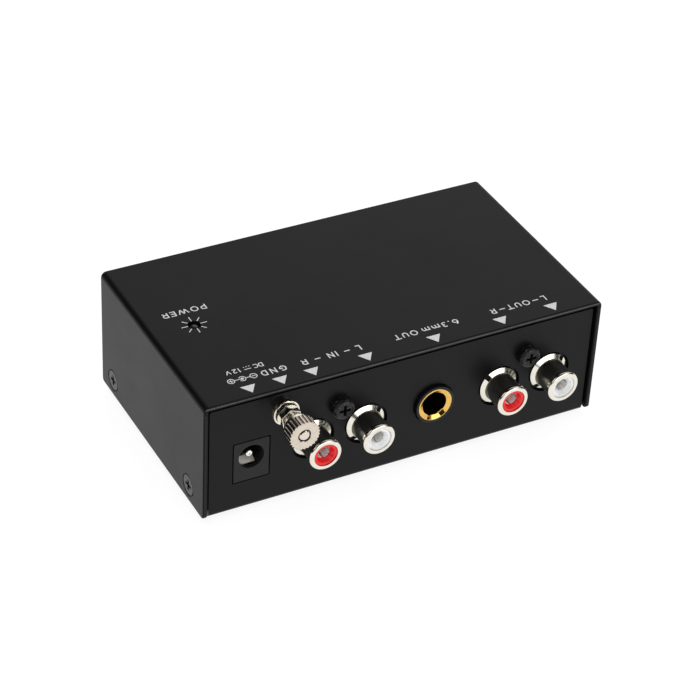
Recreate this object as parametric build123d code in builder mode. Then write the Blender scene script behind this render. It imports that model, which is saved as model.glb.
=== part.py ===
# Phono preamplifier in a folded steel case, with its sockets, earth terminal and circuit board.
# Millimetres. +Z is up, the sockets face +Y, and the origin is at the bottom centre of the
# whole object, sockets included, on the surface that the feet stand on.

import os
from math import sqrt

from build123d import *

os.makedirs("parts", exist_ok=True)

# Case: a bottom half folded up into two panels, and a cover folded down over it
case_width = 105.0
case_depth = 59.5
case_height = 32.8
sheet = 1.2
cover_bend = 1.5
chassis_bend = 1.25
panel_recess = 0.8  # the panels lie this far inside the cover's cut edges
cover_lift = 0.6  # the cover's sides end this far above the underside
cover_fit = 0.1  # between the cover and the chassis flanges
panel_side_gap = 0.6  # between the panels' sides and the cover
panel_top_gap = 1.0  # between the panels' tops and the cover
edge_round = 0.3
corner_round = 1.0
panel_corner_round = 0.6
flange_height = 9.5
bend_relief = 0.6

# Feet: stick-on rubber pads
foot_height = 1.5
foot_radius = 4.5
foot_edge_round = 0.5
foot_inset = 9.0

# Countersunk screws that hold the cover's sides to the chassis flanges
screw_radius = 1.5
screw_clearance = 0.05
screw_lead_in = 0.6
thread_depth = 0.2
cover_screw_head_radius = 2.55
cover_screw_rim = 0.35  # straight edge of the head, which leaves a groove around it
cover_screw_length = 5.0
cover_screw_height = 5.0  # above the underside
cover_screw_front_inset = 6.8
cover_screw_rear_inset = 8.3
cover_screw_recess = 0.05
screw_boss_radius = 2.1
screw_boss_height = 1.0
cross_width = 0.75
cross_span = 2.9
cross_depth = 1.1
cross_taper = 12

# Circuit board on pressed-in standoffs
board_thickness = 1.6
board_margin = 1.0  # from the panels
board_side_margin = 1.6  # from the flanges
standoff_length = 5.5
standoff_flats = 5.5
standoff_shank_radius = 2.1
standoff_side_inset = 9.5
standoff_front_inset = 8.2
standoff_rear_inset = 21.2
pan_head_radius = 2.75
pan_head_height = 2.3
pan_head_round = 0.9
board_screw_length = 4.5
tail_length = 1.0  # leads stand this far out of the board's underside
lead_gap = 0.15
lead_radius = 0.3
push_fit = 0.03  # between pieces that are pressed or glued together

# RCA socket pairs
pair_pitch = 14.0
input_x = 17.3
output_edge_inset = 19.75  # from the cover's side to the pair's middle
rca_height = 6.7  # axis above the board
block_width = 26.0
block_depth = 10.0
block_height = 12.5
boss_width = 9.0
block_screw_rise = 7.4  # above the sockets' axes
moulding_round = 1.0
boss_top_margin = 3.4
barrel_outer_radius = 3.8
barrel_wall = 0.75
barrel_reach = 7.0  # from the panel's outer face to the rim
barrel_back = 8.0
rim_radius = 4.13
rim_length = 1.25
rim_round = 0.55
ring_radius = 5.0
ring_sink = 0.2  # the flange's edge lies this far below the panel's outer face
ring_rise = 0.4  # and its foot stands this far in front of it
ring_thickness = 0.45
ring_valley = 0.2  # groove between the flange and the barrel
ring_notch_width = 1.35
collar_gap = 0.65  # between the panel's hole and the socket's collar
earth_tab_width = 2.0
earth_tab_thickness = 0.5
earth_tab_back = 5.8
insulator_inset = 0.3
insulator_cone_radius = 2.3
insulator_cone_depth = 0.9
centre_hole_radius = 1.65
contact_wall = 0.4
contact_inset = 1.5
contact_overrun = 0.6
contact_slot_width = 0.5
contact_slot_length = 5.0
contact_stem_radius = 0.5
stem_overrun = 0.8
block_screw_length = 9.0

# 6.35 mm phone socket
phone_height = 7.2
phone_width = 16.0
phone_body_height = 14.2
phone_body_depth = 30.3
phone_bore_radius = 3.2
phone_cavity_radius = 3.45  # behind the bushing, which guides the plug
phone_cavity_back_wall = 1.5
phone_nose_radius = 5.05
phone_nose_reach = 1.0
phone_nose_gap = 0.35
bushing_radius = 4.42
bushing_flange = 0.9
bushing_proud = 0.05
bushing_tube_wall = 0.5
bushing_length = 7.0
bushing_round = 0.12
bushing_lip = 0.3
bushing_dish = 0.5  # depth of the cone that leads a plug into the bore
bushing_mark_depth = 0.7
# Angle, middle's inset from the edge, length along the radius and width of each mark
bushing_marks = ((-65, 0.62, 0.85, 0.7), (-124, 0.95, 1.4, 1.4))
phone_tab_back = 5.0
spring_thickness = 0.35
spring_width = 3.0
spring_slot_gap = 0.3
spring_offset = 5.2
spring_crest_reach = 0.8  # how far the crest stands into the bore
spring_bend_drop = 2.2  # below the crest
spring_end_rise = 2.4  # above the crest
spring_end_offset = 0.9
spring_leg_width = 1.0
spring_leg_hole_radius = 0.85
tip_spring_back = 26.0
ring_spring_back = 18.5
spring_outer_room = 1.2

# DC inlet
inlet_x = 40.0
inlet_height = 6.5
inlet_width = 9.0
inlet_body_height = 11.0
inlet_length = 14.4
inlet_gap = 0.3
inlet_corner = 0.4
inlet_bore_radius = 3.24
inlet_bore_depth = 10.0
pin_radius = 1.0
pin_shank_radius = 1.4  # inside the moulding
pin_inset = 1.0
pin_round = 0.55
pin_dimple_radius = 0.28
pin_tail_width = 2.4
pin_tail_thickness = 0.5
leaf_width = 3.8
leaf_thickness = 0.3
leaf_root_back = 9.0
leaf_crest_back = 3.8
leaf_front_back = 2.2
leaf_root_rise = 1.5  # above the board
leaf_crest_rise = 1.0  # into the bore
leaf_front_drop = 1.0  # below the crest
leaf_leg_width = 1.2
leaf_leg_hole_radius = 0.95
leaf_slot_gap = 0.3
leaf_slot_ends = (1.6, 1.0)  # behind the leaf's root and ahead of its front
side_contact_inset = 0.6  # from the body's side
side_contact_back = 7.0
side_contact_width = 1.6
side_contact_thickness = 0.4

# Earth terminal: a flanged hexagonal post with a thumb nut and its clamping collar
post_x = 32.2
post_below_roof = 6.7
post_radius = 1.5
thread_pitch = 0.5
post_flange_radius = 3.4
post_flange_height = 1.75
post_bevel = 0.15
post_bevel_share = 0.4  # of the flange's height
post_shoulder_radius = 2.85
post_shoulder_height = 1.0
post_hex_flats = 4.8
post_hex_height = 1.85
post_hex_turn = 20
post_hex_round = 0.2
thread_runout = 0.2
wire_gap = 2.0
clamp_collar_height = 1.3
clamp_collar_radius = 3.4
clamp_collar_round = 0.5
nut_height = 3.13
nut_radius = 3.78
nut_seat_gap = 0.02
running_clearance = 0.08
knurl_count = 26
knurl_radius = 0.34
knurl_offset = 0.1  # of the grooves' centres outside the nut
nut_chamfer = 0.15
post_inner_length = 7.6
washer_thickness = 0.4
washer_radius = 2.9
washer_teeth = 10
washer_gap = (0.9, 0.6)
lug_thickness = 0.5
lug_radius = 2.7
lug_tail_width = 2.4
lug_tail_length = 7.6
lock_nut_flats = 5.5
lock_nut_height = 2.4
wire_radius = 0.6
wire_bend = 2.4
wire_lap = 3.0  # along the lug's tail
wire_drop = 2.5  # below the lug's tail
wire_step = 7.5  # away from the panel
wire_rise = 5.0  # straight up from the board

# Power lamp under the cover
lamp_x = 41.0
lamp_y = -0.75  # from the middle of the case
lamp_hole_radius = 1.5
lamp_hole_chamfer = 0.1
lamp_radius = 1.4
lamp_length = 4.3
lamp_below_top = 0.15
lamp_flange_radius = 1.9
lamp_flange_height = 0.9
lamp_spacer_radius = 2.4
lamp_leg_spacing = 2.54
lamp_leg_depth = 0.6  # inside the lens

# Components on the board; their places are from the middle of the case
phono_chip_x = 17.0
phono_chip_y = 9.5
output_group_shift = 1.75  # of the output stage from the middle of the output pair
output_chip_y = 9.0
dip_pitch = 2.54
dip_row_spacing = 7.62
dip_body = (9.8, 6.4, 3.4)
dip_stand = 0.5
dip_leg_width = 0.5
dip_leg_thickness = 0.25
dip_mark_radius = 0.9
dip_mark_depth = 0.5
film_body = (7.2, 3.5, 7.5)
film_phone_gap = 1.525  # from the phone socket's side to the first column
film_choke_gap = 2.3  # from the last column to the choke
film_columns = 3
film_rows = 2
film_y = -3.0
film_spacing_y = 7.0
film_pitch = 5.0
film_round = 0.4
reservoir_radius = 5.0
reservoir_height = 16.0
reservoir_pitch = 5.0
reservoir_x = 25.0
reservoir_y = -19.0
reservoir_spacing = 12.5
coupling_radius = 2.5
coupling_height = 11.0
coupling_pitch = 2.0
coupling_y = -5.5
coupling_spacing_x = 8.0
coupling_spacing_y = 7.0
can_groove_depth = 0.35
can_groove_height = 1.6
resistor_radius = 1.15
resistor_length = 6.3
resistor_pitch = 10.0
resistor_lift = 0.15
resistor_x = -13.0
resistor_y = -18.5
resistor_spacing_x = 13.0
resistor_spacing_y = 5.0
diode_radius = 1.35
diode_length = 5.2
diode_pitch = 10.0
diode_x = 30.0
diode_y = 7.5
ceramic_body = (4.2, 2.4, 4.4)
ceramic_pitch = 2.5
ceramic_spacing = 12.0
phono_ceramic_y = 3.6
output_ceramic_y = 2.8
ceramic_round = 0.8
choke_radius = 3.5
choke_height = 8.0
choke_pitch = 4.0
choke_x = 34.0
choke_y = -2.5
choke_waist = 0.8
regulator_body = (10.2, 4.4, 9.2)
regulator_tab_thickness = 1.3
regulator_tab_rise = 6.2
regulator_hole_radius = 1.8
regulator_lift = 3.6
regulator_side_inset = 10.5
regulator_y = -11.0
regulator_leg_pitch = 2.54
regulator_leg_width = 0.8
regulator_leg_thickness = 0.5
regulator_leg_depth = 0.5  # inside the case

# Heights and depths that several pieces share
nut_reach = (
    post_flange_height + post_shoulder_height + post_hex_height + wire_gap
    + clamp_collar_height + nut_seat_gap + nut_height
)
total_depth = case_depth - panel_recess + nut_reach
front_y = -total_depth / 2
rear_y = front_y + case_depth
middle_y = (front_y + rear_y) / 2
panel_y = rear_y - panel_recess
panel_inner_y = panel_y - sheet
front_inner_y = front_y + panel_recess + sheet
underside_z = foot_height
roof_z = underside_z + case_height
cover_bottom_z = underside_z + cover_lift
board_bottom_z = underside_z + sheet + standoff_length
board_z = board_bottom_z + board_thickness
tail_z = board_bottom_z - tail_length
rca_z = board_z + rca_height
phone_z = board_z + phone_height
inlet_z = board_z + inlet_height
post_z = roof_z - post_below_roof
output_x = output_edge_inset - case_width / 2
phone_x = (input_x + output_x) / 2
standoff_x = case_width / 2 - standoff_side_inset
chassis_width = case_width - 2 * sheet - 2 * cover_fit
panel_width = case_width - 2 * (sheet + panel_side_gap)
panel_height = case_height - sheet - panel_top_gap
flange_inner_x = chassis_width / 2 - sheet


def finish(piece, label):
    piece.part.label = label
    export_step(piece.part, f"parts/{label}.step")


def rear_plane(back=0.0):
    # Faces -Y, local x is X and local y is Z; `back` is measured inwards from the panel's face
    return Plane.XZ.offset(back - panel_y)


def socket_plane(x, z):
    # Holds a socket's half profile: local x is the radius, local y runs out of the panel
    return Plane(origin=(x, panel_y, z))


def socket_axis(x, z):
    return Axis((x, panel_y, z), (0, 1, 0))


def box_between(low, high, mode=Mode.ADD):
    # A box from its low corner to its high corner, inside the current part
    size = [b - a for a, b in zip(low, high)]
    with Locations(tuple(low)):
        Box(*size, align=(Align.MIN, Align.MIN, Align.MIN), mode=mode)


def cross_cutter(plane):
    # What a Phillips recess takes out of a head whose top lies on the plane
    with BuildPart() as cutter:
        with BuildSketch(plane):
            Rectangle(cross_span, cross_width)
            Rectangle(cross_width, cross_span)
        extrude(amount=-cross_depth, taper=cross_taper)
    return cutter.part


def pan_screw(plane, length):
    # Pan-head screw whose head sits on the plane and whose thread runs into it
    profile = Plane(origin=plane.origin, x_dir=plane.x_dir, z_dir=plane.y_dir * -1)
    with BuildPart() as screw:
        with BuildSketch(profile):
            with BuildLine():
                thread = Polyline(
                    (0, -length),
                    (screw_radius - thread_depth, -length),
                    (screw_radius, screw_lead_in - length),
                    (screw_radius, 0),
                    (pan_head_radius, 0),
                    (pan_head_radius, pan_head_height - pan_head_round),
                )
                crown = RadiusArc(
                    thread @ 1, (pan_head_radius - pan_head_round, pan_head_height), -pan_head_round
                )
                Polyline(crown @ 1, (0, pan_head_height), (0, -length))
            make_face()
        revolve(axis=Axis(plane.origin, plane.z_dir))
        add(cross_cutter(plane.offset(pan_head_height)), mode=Mode.SUBTRACT)
    return screw.part


# Case

side_screw_ys = [front_y + cover_screw_front_inset, rear_y - cover_screw_rear_inset]
side_screw_planes = [
    Plane(origin=(side * case_width / 2, y, underside_z + cover_screw_height), z_dir=(side, 0, 0))
    for side in (-1, 1)
    for y in side_screw_ys
]
screw_seat_radius = cover_screw_head_radius + cover_screw_rim + cover_screw_recess
lamp_place = (lamp_x, middle_y + lamp_y)

with BuildPart() as top_cover:
    with BuildSketch(Plane.XZ.offset(-rear_y)) as cover_outside:
        with Locations((0, cover_bottom_z)):
            Rectangle(case_width, roof_z - cover_bottom_z, align=(Align.CENTER, Align.MIN))
        fillet(cover_outside.vertices().group_by(Axis.Y)[-1], cover_bend)
    extrude(amount=case_depth)
    with BuildSketch(Plane.XZ.offset(-rear_y)) as cover_inside:
        with Locations((0, cover_bottom_z)):
            Rectangle(
                case_width - 2 * sheet, roof_z - sheet - cover_bottom_z, align=(Align.CENTER, Align.MIN)
            )
        fillet(cover_inside.vertices().group_by(Axis.Y)[-1], cover_bend - sheet)
    extrude(amount=case_depth, mode=Mode.SUBTRACT)
    lower_corners = top_cover.edges().filter_by(Axis.X).group_by(Axis.Z)[0]
    fillet(lower_corners, corner_round)
    # The rounding runs on from here around the lower corners to the other end
    cut_edges = top_cover.edges().group_by(Axis.Y)[-1].sort_by(Axis.Z)[2:]
    fillet(cut_edges, edge_round)
    with Locations(*side_screw_planes):
        CounterSinkHole(
            radius=screw_radius + screw_clearance,
            counter_sink_radius=screw_seat_radius,
            depth=sheet * 2,
            counter_sink_angle=90,
        )
    with BuildSketch(Plane.XY.offset(roof_z)):
        with Locations(lamp_place):
            Circle(lamp_hole_radius)
    extrude(amount=-sheet, mode=Mode.SUBTRACT)
    chamfer(top_cover.edges().filter_by(GeomType.CIRCLE).group_by(Axis.Z)[-1], lamp_hole_chamfer)
finish(top_cover, "top_cover")

rca_holes = [(pair + side * pair_pitch / 2, rca_z) for pair in (input_x, output_x) for side in (1, -1)]
block_screw_z = rca_z + block_screw_rise
standoff_places = [
    (side * standoff_x, y)
    for side in (-1, 1)
    for y in (front_y + standoff_front_inset, rear_y - standoff_rear_inset)
]

with BuildPart() as chassis:
    with BuildSketch(Plane.YZ.offset(-panel_width / 2)) as strip_outside:
        with Locations((middle_y, underside_z)):
            Rectangle(case_depth - 2 * panel_recess, panel_height, align=(Align.CENTER, Align.MIN))
        fillet(strip_outside.vertices().group_by(Axis.Y)[0], chassis_bend)
    extrude(amount=panel_width)
    with BuildSketch(Plane.YZ.offset(-panel_width / 2)) as strip_inside:
        with Locations((middle_y, underside_z + sheet)):
            Rectangle(panel_inner_y - front_inner_y, panel_height, align=(Align.CENTER, Align.MIN))
        fillet(strip_inside.vertices().group_by(Axis.Y)[0], chassis_bend - sheet)
    extrude(amount=panel_width, mode=Mode.SUBTRACT)
    # The bottom's long edges are cut away, then folded up as flanges
    for side in (-1, 1):
        strip_xs = sorted((side * (chassis_width / 2 - chassis_bend), side * chassis_width / 2))
        box_between(
            (strip_xs[0], front_inner_y, underside_z),
            (strip_xs[1], panel_inner_y, underside_z + sheet + chassis_bend),
            mode=Mode.SUBTRACT,
        )
    with BuildSketch(Plane.XZ.offset(-(panel_inner_y - bend_relief))) as flange_outside:
        with Locations((0, underside_z)):
            Rectangle(chassis_width, flange_height, align=(Align.CENTER, Align.MIN))
        fillet(flange_outside.vertices().group_by(Axis.Y)[0], chassis_bend)
        with BuildSketch(mode=Mode.PRIVATE) as flange_inside:
            with Locations((0, underside_z + sheet)):
                Rectangle(chassis_width - 2 * sheet, flange_height, align=(Align.CENTER, Align.MIN))
            fillet(flange_inside.vertices().group_by(Axis.Y)[0], chassis_bend - sheet)
        add(flange_inside.sketch, mode=Mode.SUBTRACT)
    extrude(amount=panel_inner_y - front_inner_y - 2 * bend_relief)
    top_corners = chassis.edges().filter_by(Axis.Y).group_by(Axis.Z)[-1]
    fillet(top_corners, panel_corner_round)
    # Drawn bosses for the cover screws
    for plane in side_screw_planes:
        with BuildSketch(plane.offset(-(sheet + cover_fit))):
            Circle(screw_boss_radius)
        extrude(amount=-(sheet + screw_boss_height))
    with Locations(*side_screw_planes):
        CounterSinkHole(
            radius=screw_radius + screw_clearance,
            counter_sink_radius=screw_seat_radius,
            depth=2 * (sheet + screw_boss_height + cover_fit),
            counter_sink_angle=90,
        )
    with BuildSketch(rear_plane()):
        with Locations(*rca_holes):
            Circle(ring_radius + collar_gap)
        with Locations((input_x, block_screw_z), (output_x, block_screw_z)):
            Circle(screw_radius + screw_clearance)
        with Locations((phone_x, phone_z)):
            Circle(phone_nose_radius + phone_nose_gap)
        with Locations((post_x, post_z)):
            Circle(post_radius + screw_clearance)
        with Locations((inlet_x, board_z + inlet_body_height / 2)):
            RectangleRounded(inlet_width + 2 * inlet_gap, inlet_body_height + 2 * inlet_gap, inlet_corner)
    extrude(amount=sheet, mode=Mode.SUBTRACT)
    with BuildSketch(Plane.XY.offset(underside_z)):
        with Locations(*standoff_places):
            Circle(standoff_shank_radius + push_fit)
    extrude(amount=sheet, mode=Mode.SUBTRACT)
finish(chassis, "chassis")

with BuildPart() as cover_screws:
    head_depth = cover_screw_head_radius - screw_radius
    for plane in side_screw_planes:
        # Local x is the radius and local y runs inwards, along the screw
        inwards = Plane(origin=plane.origin, x_dir=(0, plane.z_dir.X, 0), z_dir=(0, 0, 1))
        with BuildSketch(inwards):
            Polygon(
                (0, cover_screw_recess),
                (cover_screw_head_radius, cover_screw_recess),
                (cover_screw_head_radius, cover_screw_recess + cover_screw_rim),
                (screw_radius, cover_screw_recess + cover_screw_rim + head_depth),
                (screw_radius, cover_screw_length - screw_lead_in),
                (screw_radius - thread_depth, cover_screw_length),
                (0, cover_screw_length),
            )
        revolve(axis=Axis(plane.origin, plane.z_dir))
        add(cross_cutter(plane.offset(-cover_screw_recess)), mode=Mode.SUBTRACT)
finish(cover_screws, "cover_screws")

with BuildPart() as rubber_feet:
    with BuildSketch(Plane.XY):
        with GridLocations(case_width - 2 * foot_inset, case_depth - 2 * foot_inset, 2, 2):
            with Locations((0, middle_y)):
                Circle(foot_radius)
    extrude(amount=foot_height)
    fillet(rubber_feet.edges().filter_by(GeomType.CIRCLE).group_by(Axis.Z)[0], foot_edge_round)
finish(rubber_feet, "rubber_feet")

# RCA sockets

rca_sockets = {
    "input_right": (input_x + pair_pitch / 2, 45),
    "input_left": (input_x - pair_pitch / 2, 135),
    "output_right": (output_x + pair_pitch / 2, 45),
    "output_left": (output_x - pair_pitch / 2, 135),
}
barrel_bore_radius = barrel_outer_radius - barrel_wall
collar_radius = ring_radius
ring_back = ring_sink + ring_thickness
ring_notch_depth = ring_radius - barrel_outer_radius - ring_valley
block_back = sheet + block_depth
stem_back = block_back + stem_overrun
contact_radius = centre_hole_radius + contact_wall

for pair, x in (("input", input_x), ("output", output_x)):
    socket_xs = [(x - pair_pitch / 2, rca_z), (x + pair_pitch / 2, rca_z)]
    with BuildPart() as block:
        with BuildSketch(rear_plane(sheet)):
            with Locations((x, board_z)):
                Rectangle(block_width, block_height, align=(Align.CENTER, Align.MIN))
                Rectangle(
                    boss_width,
                    rca_height + block_screw_rise + boss_top_margin,
                    align=(Align.CENTER, Align.MIN),
                )
        extrude(amount=block_depth)
        fillet(block.edges().filter_by(Axis.Y).group_by(Axis.Z)[-1], moulding_round)
        with BuildSketch(rear_plane(ring_back)):
            with Locations(*socket_xs):
                Circle(collar_radius)
        extrude(amount=sheet - ring_back)
        with BuildSketch(rear_plane()):
            with Locations(*socket_xs):
                Circle(barrel_outer_radius + push_fit)
        extrude(amount=barrel_back + push_fit, mode=Mode.SUBTRACT)
        with BuildSketch(rear_plane(barrel_back)):
            with Locations(*socket_xs):
                Circle(contact_radius + push_fit)
        extrude(amount=contact_overrun + push_fit, mode=Mode.SUBTRACT)
        with BuildSketch(rear_plane(barrel_back)):
            with Locations(*socket_xs):
                Circle(contact_stem_radius + push_fit)
        extrude(amount=block_back, mode=Mode.SUBTRACT)
        with BuildSketch(rear_plane(sheet)):
            with Locations((x, block_screw_z)):
                Circle(screw_radius + push_fit)
        extrude(amount=block_screw_length, mode=Mode.SUBTRACT)
        for socket_x, _ in socket_xs:
            slot_half = earth_tab_width / 2 + lead_gap
            box_between(
                (socket_x - slot_half, panel_y - earth_tab_back - earth_tab_thickness - lead_gap, board_z),
                (socket_x + slot_half, panel_y - earth_tab_back + lead_gap, rca_z),
                mode=Mode.SUBTRACT,
            )
    finish(block, f"{pair}_socket_block")

for socket, (x, notch_angle) in rca_sockets.items():
    with BuildPart() as barrel:
        with BuildSketch(socket_plane(x, rca_z)) as barrel_profile:
            Polygon(
                [
                    (barrel_bore_radius, -barrel_back),
                    (barrel_outer_radius, -barrel_back),
                    (barrel_outer_radius, -ring_back),
                    (ring_radius, -ring_back),
                    (ring_radius, -ring_sink),
                    (barrel_outer_radius + ring_valley, ring_rise),
                    (barrel_outer_radius, ring_rise - ring_valley),
                    (barrel_outer_radius, barrel_reach - rim_length),
                    (rim_radius, barrel_reach - rim_length + (rim_radius - barrel_outer_radius) / 2),
                    (rim_radius, barrel_reach),
                    (barrel_bore_radius, barrel_reach),
                ]
            )
            fillet(barrel_profile.vertices().group_by(Axis.Y)[-1].sort_by(Axis.X)[-1], rim_round)
        revolve(axis=socket_axis(x, rca_z))
        # The flange is notched on opposite sides
        with BuildSketch(rear_plane(ring_back)):
            with Locations(Location((x, rca_z), notch_angle)):
                with Locations((ring_radius, 0), (-ring_radius, 0)):
                    Rectangle(2 * ring_notch_depth, ring_notch_width)
        extrude(amount=-(ring_back + ring_rise), mode=Mode.SUBTRACT)
        box_between(
            (x - earth_tab_width / 2, panel_y - earth_tab_back - earth_tab_thickness, tail_z),
            (x + earth_tab_width / 2, panel_y - earth_tab_back, rca_z - barrel_bore_radius - barrel_wall / 2),
        )
    finish(barrel, f"{socket}_barrel")

    with BuildPart() as insulator:
        insulator_radius = barrel_bore_radius - push_fit
        insulator_front = barrel_reach - insulator_inset
        cavity_radius = contact_radius + push_fit
        contact_front = barrel_reach - contact_inset
        with BuildSketch(socket_plane(x, rca_z)):
            Polygon(
                [
                    (cavity_radius, -barrel_back),
                    (insulator_radius, -barrel_back),
                    (insulator_radius, insulator_front),
                    (insulator_cone_radius, insulator_front),
                    (centre_hole_radius, insulator_front - insulator_cone_depth),
                    (centre_hole_radius, contact_front + push_fit),
                    (cavity_radius, contact_front + push_fit),
                ]
            )
        revolve(axis=socket_axis(x, rca_z))
    finish(insulator, f"{socket}_insulator")

    with BuildPart() as contact:
        contact_back = barrel_back + contact_overrun
        with BuildSketch(socket_plane(x, rca_z)):
            Polygon(
                [
                    (centre_hole_radius, contact_front),
                    (contact_radius, contact_front),
                    (contact_radius, -contact_back),
                    (0, -contact_back),
                    (0, contact_wall - contact_back),
                    (centre_hole_radius, contact_wall - contact_back),
                ]
            )
        revolve(axis=socket_axis(x, rca_z))
        # Two slots leave four fingers that grip the plug's pin
        with BuildSketch(rear_plane(-contact_front)):
            with Locations((x, rca_z)):
                Rectangle(3 * contact_radius, contact_slot_width)
                Rectangle(contact_slot_width, 3 * contact_radius)
        extrude(amount=contact_slot_length, mode=Mode.SUBTRACT)
        with BuildSketch(rear_plane(contact_back - contact_wall)):
            with Locations((x, rca_z)):
                Circle(contact_stem_radius)
        extrude(amount=stem_back + contact_stem_radius - contact_back + contact_wall)
        box_between(
            (x - contact_stem_radius, panel_y - stem_back - contact_stem_radius, tail_z),
            (x + contact_stem_radius, panel_y - stem_back, rca_z),
        )
    finish(contact, f"{socket}_contact")

with BuildPart() as block_screws:
    for x in (input_x, output_x):
        seat = Plane(origin=(x, panel_y, block_screw_z), x_dir=(-1, 0, 0), z_dir=(0, 1, 0))
        add(pan_screw(seat, block_screw_length))
finish(block_screws, "socket_screws")

# 6.35 mm phone socket

phone_back = sheet + phone_body_depth
cavity_back = phone_back - phone_cavity_back_wall
bushing_front = phone_nose_reach + bushing_proud
bushing_tube_radius = phone_bore_radius + bushing_tube_wall
crest_x = phone_bore_radius - spring_crest_reach
phone_springs = {"tip": (-1, tip_spring_back), "ring": (1, ring_spring_back)}

with BuildPart() as phone_socket_body:
    with BuildSketch(rear_plane(sheet)):
        with Locations((phone_x, board_z)):
            Rectangle(phone_width, phone_body_height, align=(Align.CENTER, Align.MIN))
    extrude(amount=phone_body_depth)
    fillet(phone_socket_body.edges().filter_by(Axis.Y).group_by(Axis.Z)[-1], moulding_round)
    with BuildSketch(rear_plane(-phone_nose_reach)):
        with Locations((phone_x, phone_z)):
            Circle(phone_nose_radius)
    extrude(amount=phone_nose_reach + sheet)
    for radius, start, end in (
        (phone_cavity_radius, -phone_nose_reach, cavity_back),
        (bushing_tube_radius + push_fit, -phone_nose_reach, bushing_length + push_fit - bushing_front),
        (bushing_radius + push_fit, -phone_nose_reach, bushing_flange + push_fit - bushing_front),
    ):
        with BuildSketch(rear_plane(start)):
            with Locations((phone_x, phone_z)):
                Circle(radius)
        extrude(amount=end - start, mode=Mode.SUBTRACT)
    for side, back in phone_springs.values():
        slot_xs = sorted((phone_x, phone_x + side * (spring_offset + spring_thickness + spring_outer_room)))
        box_between(
            (slot_xs[0], panel_y - back - spring_width / 2 - spring_slot_gap, board_z),
            (slot_xs[1], panel_y - back + spring_width / 2 + spring_slot_gap, phone_z + phone_cavity_radius),
            mode=Mode.SUBTRACT,
        )
    box_between(
        (
            phone_x - earth_tab_width / 2 - lead_gap,
            panel_y - phone_tab_back - earth_tab_thickness - lead_gap,
            board_z,
        ),
        (phone_x + earth_tab_width / 2 + lead_gap, panel_y - phone_tab_back + lead_gap, phone_z),
        mode=Mode.SUBTRACT,
    )
finish(phone_socket_body, "phone_socket_body")

with BuildPart() as phone_socket_bushing:
    with BuildSketch(socket_plane(phone_x, phone_z)):
        Polygon(
            [
                (phone_bore_radius, bushing_front - bushing_length),
                (bushing_tube_radius, bushing_front - bushing_length),
                (bushing_tube_radius, bushing_front - bushing_flange),
                (bushing_radius, bushing_front - bushing_flange),
                (bushing_radius, bushing_front),
                (bushing_radius - bushing_lip, bushing_front),
                (phone_bore_radius, bushing_front - bushing_dish),
            ]
        )
    revolve(axis=socket_axis(phone_x, phone_z))
    front_edges = phone_socket_bushing.edges().filter_by(GeomType.CIRCLE).group_by(Axis.Y)[-1]
    fillet(front_edges.sort_by(SortBy.RADIUS)[-1], bushing_round)
    # Two pockets in the face show where the earth tab is staked
    with BuildSketch(rear_plane(-bushing_front)):
        for angle, inset, mark_length, mark_width in bushing_marks:
            with Locations(Location((phone_x, phone_z), angle)):
                with Locations((bushing_radius - inset, 0)):
                    Rectangle(mark_length, mark_width)
    extrude(amount=bushing_mark_depth, mode=Mode.SUBTRACT)
    box_between(
        (phone_x - earth_tab_width / 2, panel_y - phone_tab_back - earth_tab_thickness, tail_z),
        (
            phone_x + earth_tab_width / 2,
            panel_y - phone_tab_back,
            phone_z - phone_bore_radius - bushing_tube_wall / 2,
        ),
    )
finish(phone_socket_bushing, "phone_socket_bushing")

for name, (side, back) in phone_springs.items():
    with BuildPart() as spring:
        # A strip folded into a crest that presses on the plug
        with BuildSketch(rear_plane(back - spring_width / 2)):
            near, far = spring_offset, spring_offset + spring_thickness
            outline = [
                (near, board_z + lead_gap),
                (far, board_z + lead_gap),
                (far, phone_z - spring_bend_drop),
                (crest_x + spring_thickness, phone_z),
                (far - spring_end_offset, phone_z + spring_end_rise),
                (near - spring_end_offset, phone_z + spring_end_rise),
                (crest_x, phone_z),
                (near, phone_z - spring_bend_drop),
            ]
            Polygon([(phone_x + side * x, z) for x, z in outline])
        extrude(amount=spring_width)
        leg_x = phone_x + side * (near + spring_thickness / 2)
        leg_y = panel_y - back
        box_between(
            (leg_x - spring_thickness / 2, leg_y - spring_leg_width / 2, tail_z),
            (leg_x + spring_thickness / 2, leg_y + spring_leg_width / 2, board_z + spring_leg_width),
        )
    finish(spring, f"phone_{name}_spring")

# DC inlet

bore_bottom_z = inlet_z - inlet_bore_radius
leaf_slot_half = leaf_width / 2 + leaf_slot_gap
pin_back = inlet_length + pin_tail_thickness
side_slot_x = inlet_x - inlet_width / 2 + side_contact_inset

with BuildPart() as dc_inlet_body:
    with BuildSketch(rear_plane()):
        with Locations((inlet_x, board_z)):
            Rectangle(inlet_width, inlet_body_height, align=(Align.CENTER, Align.MIN))
    extrude(amount=inlet_length)
    for radius, end in (
        (inlet_bore_radius, inlet_bore_depth),
        (pin_shank_radius + push_fit, inlet_length),
    ):
        with BuildSketch(rear_plane()):
            with Locations((inlet_x, inlet_z)):
                Circle(radius)
        extrude(amount=end, mode=Mode.SUBTRACT)
    # Room for the spring leaf under the bore, and for the side contact beside it
    box_between(
        (inlet_x - leaf_slot_half, panel_y - leaf_root_back - leaf_slot_ends[0], board_z),
        (inlet_x + leaf_slot_half, panel_y - leaf_front_back + leaf_slot_ends[1], inlet_z),
        mode=Mode.SUBTRACT,
    )
    box_between(
        (
            side_slot_x,
            panel_y - side_contact_back - side_contact_width / 2 - lead_gap,
            board_z,
        ),
        (
            side_slot_x + side_contact_thickness + 2 * lead_gap,
            panel_y - side_contact_back + side_contact_width / 2 + lead_gap,
            inlet_z,
        ),
        mode=Mode.SUBTRACT,
    )
    fillet(dc_inlet_body.edges().filter_by(Axis.Y).group_by(Axis.Z)[-1], inlet_corner)
finish(dc_inlet_body, "dc_inlet_body")

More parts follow.
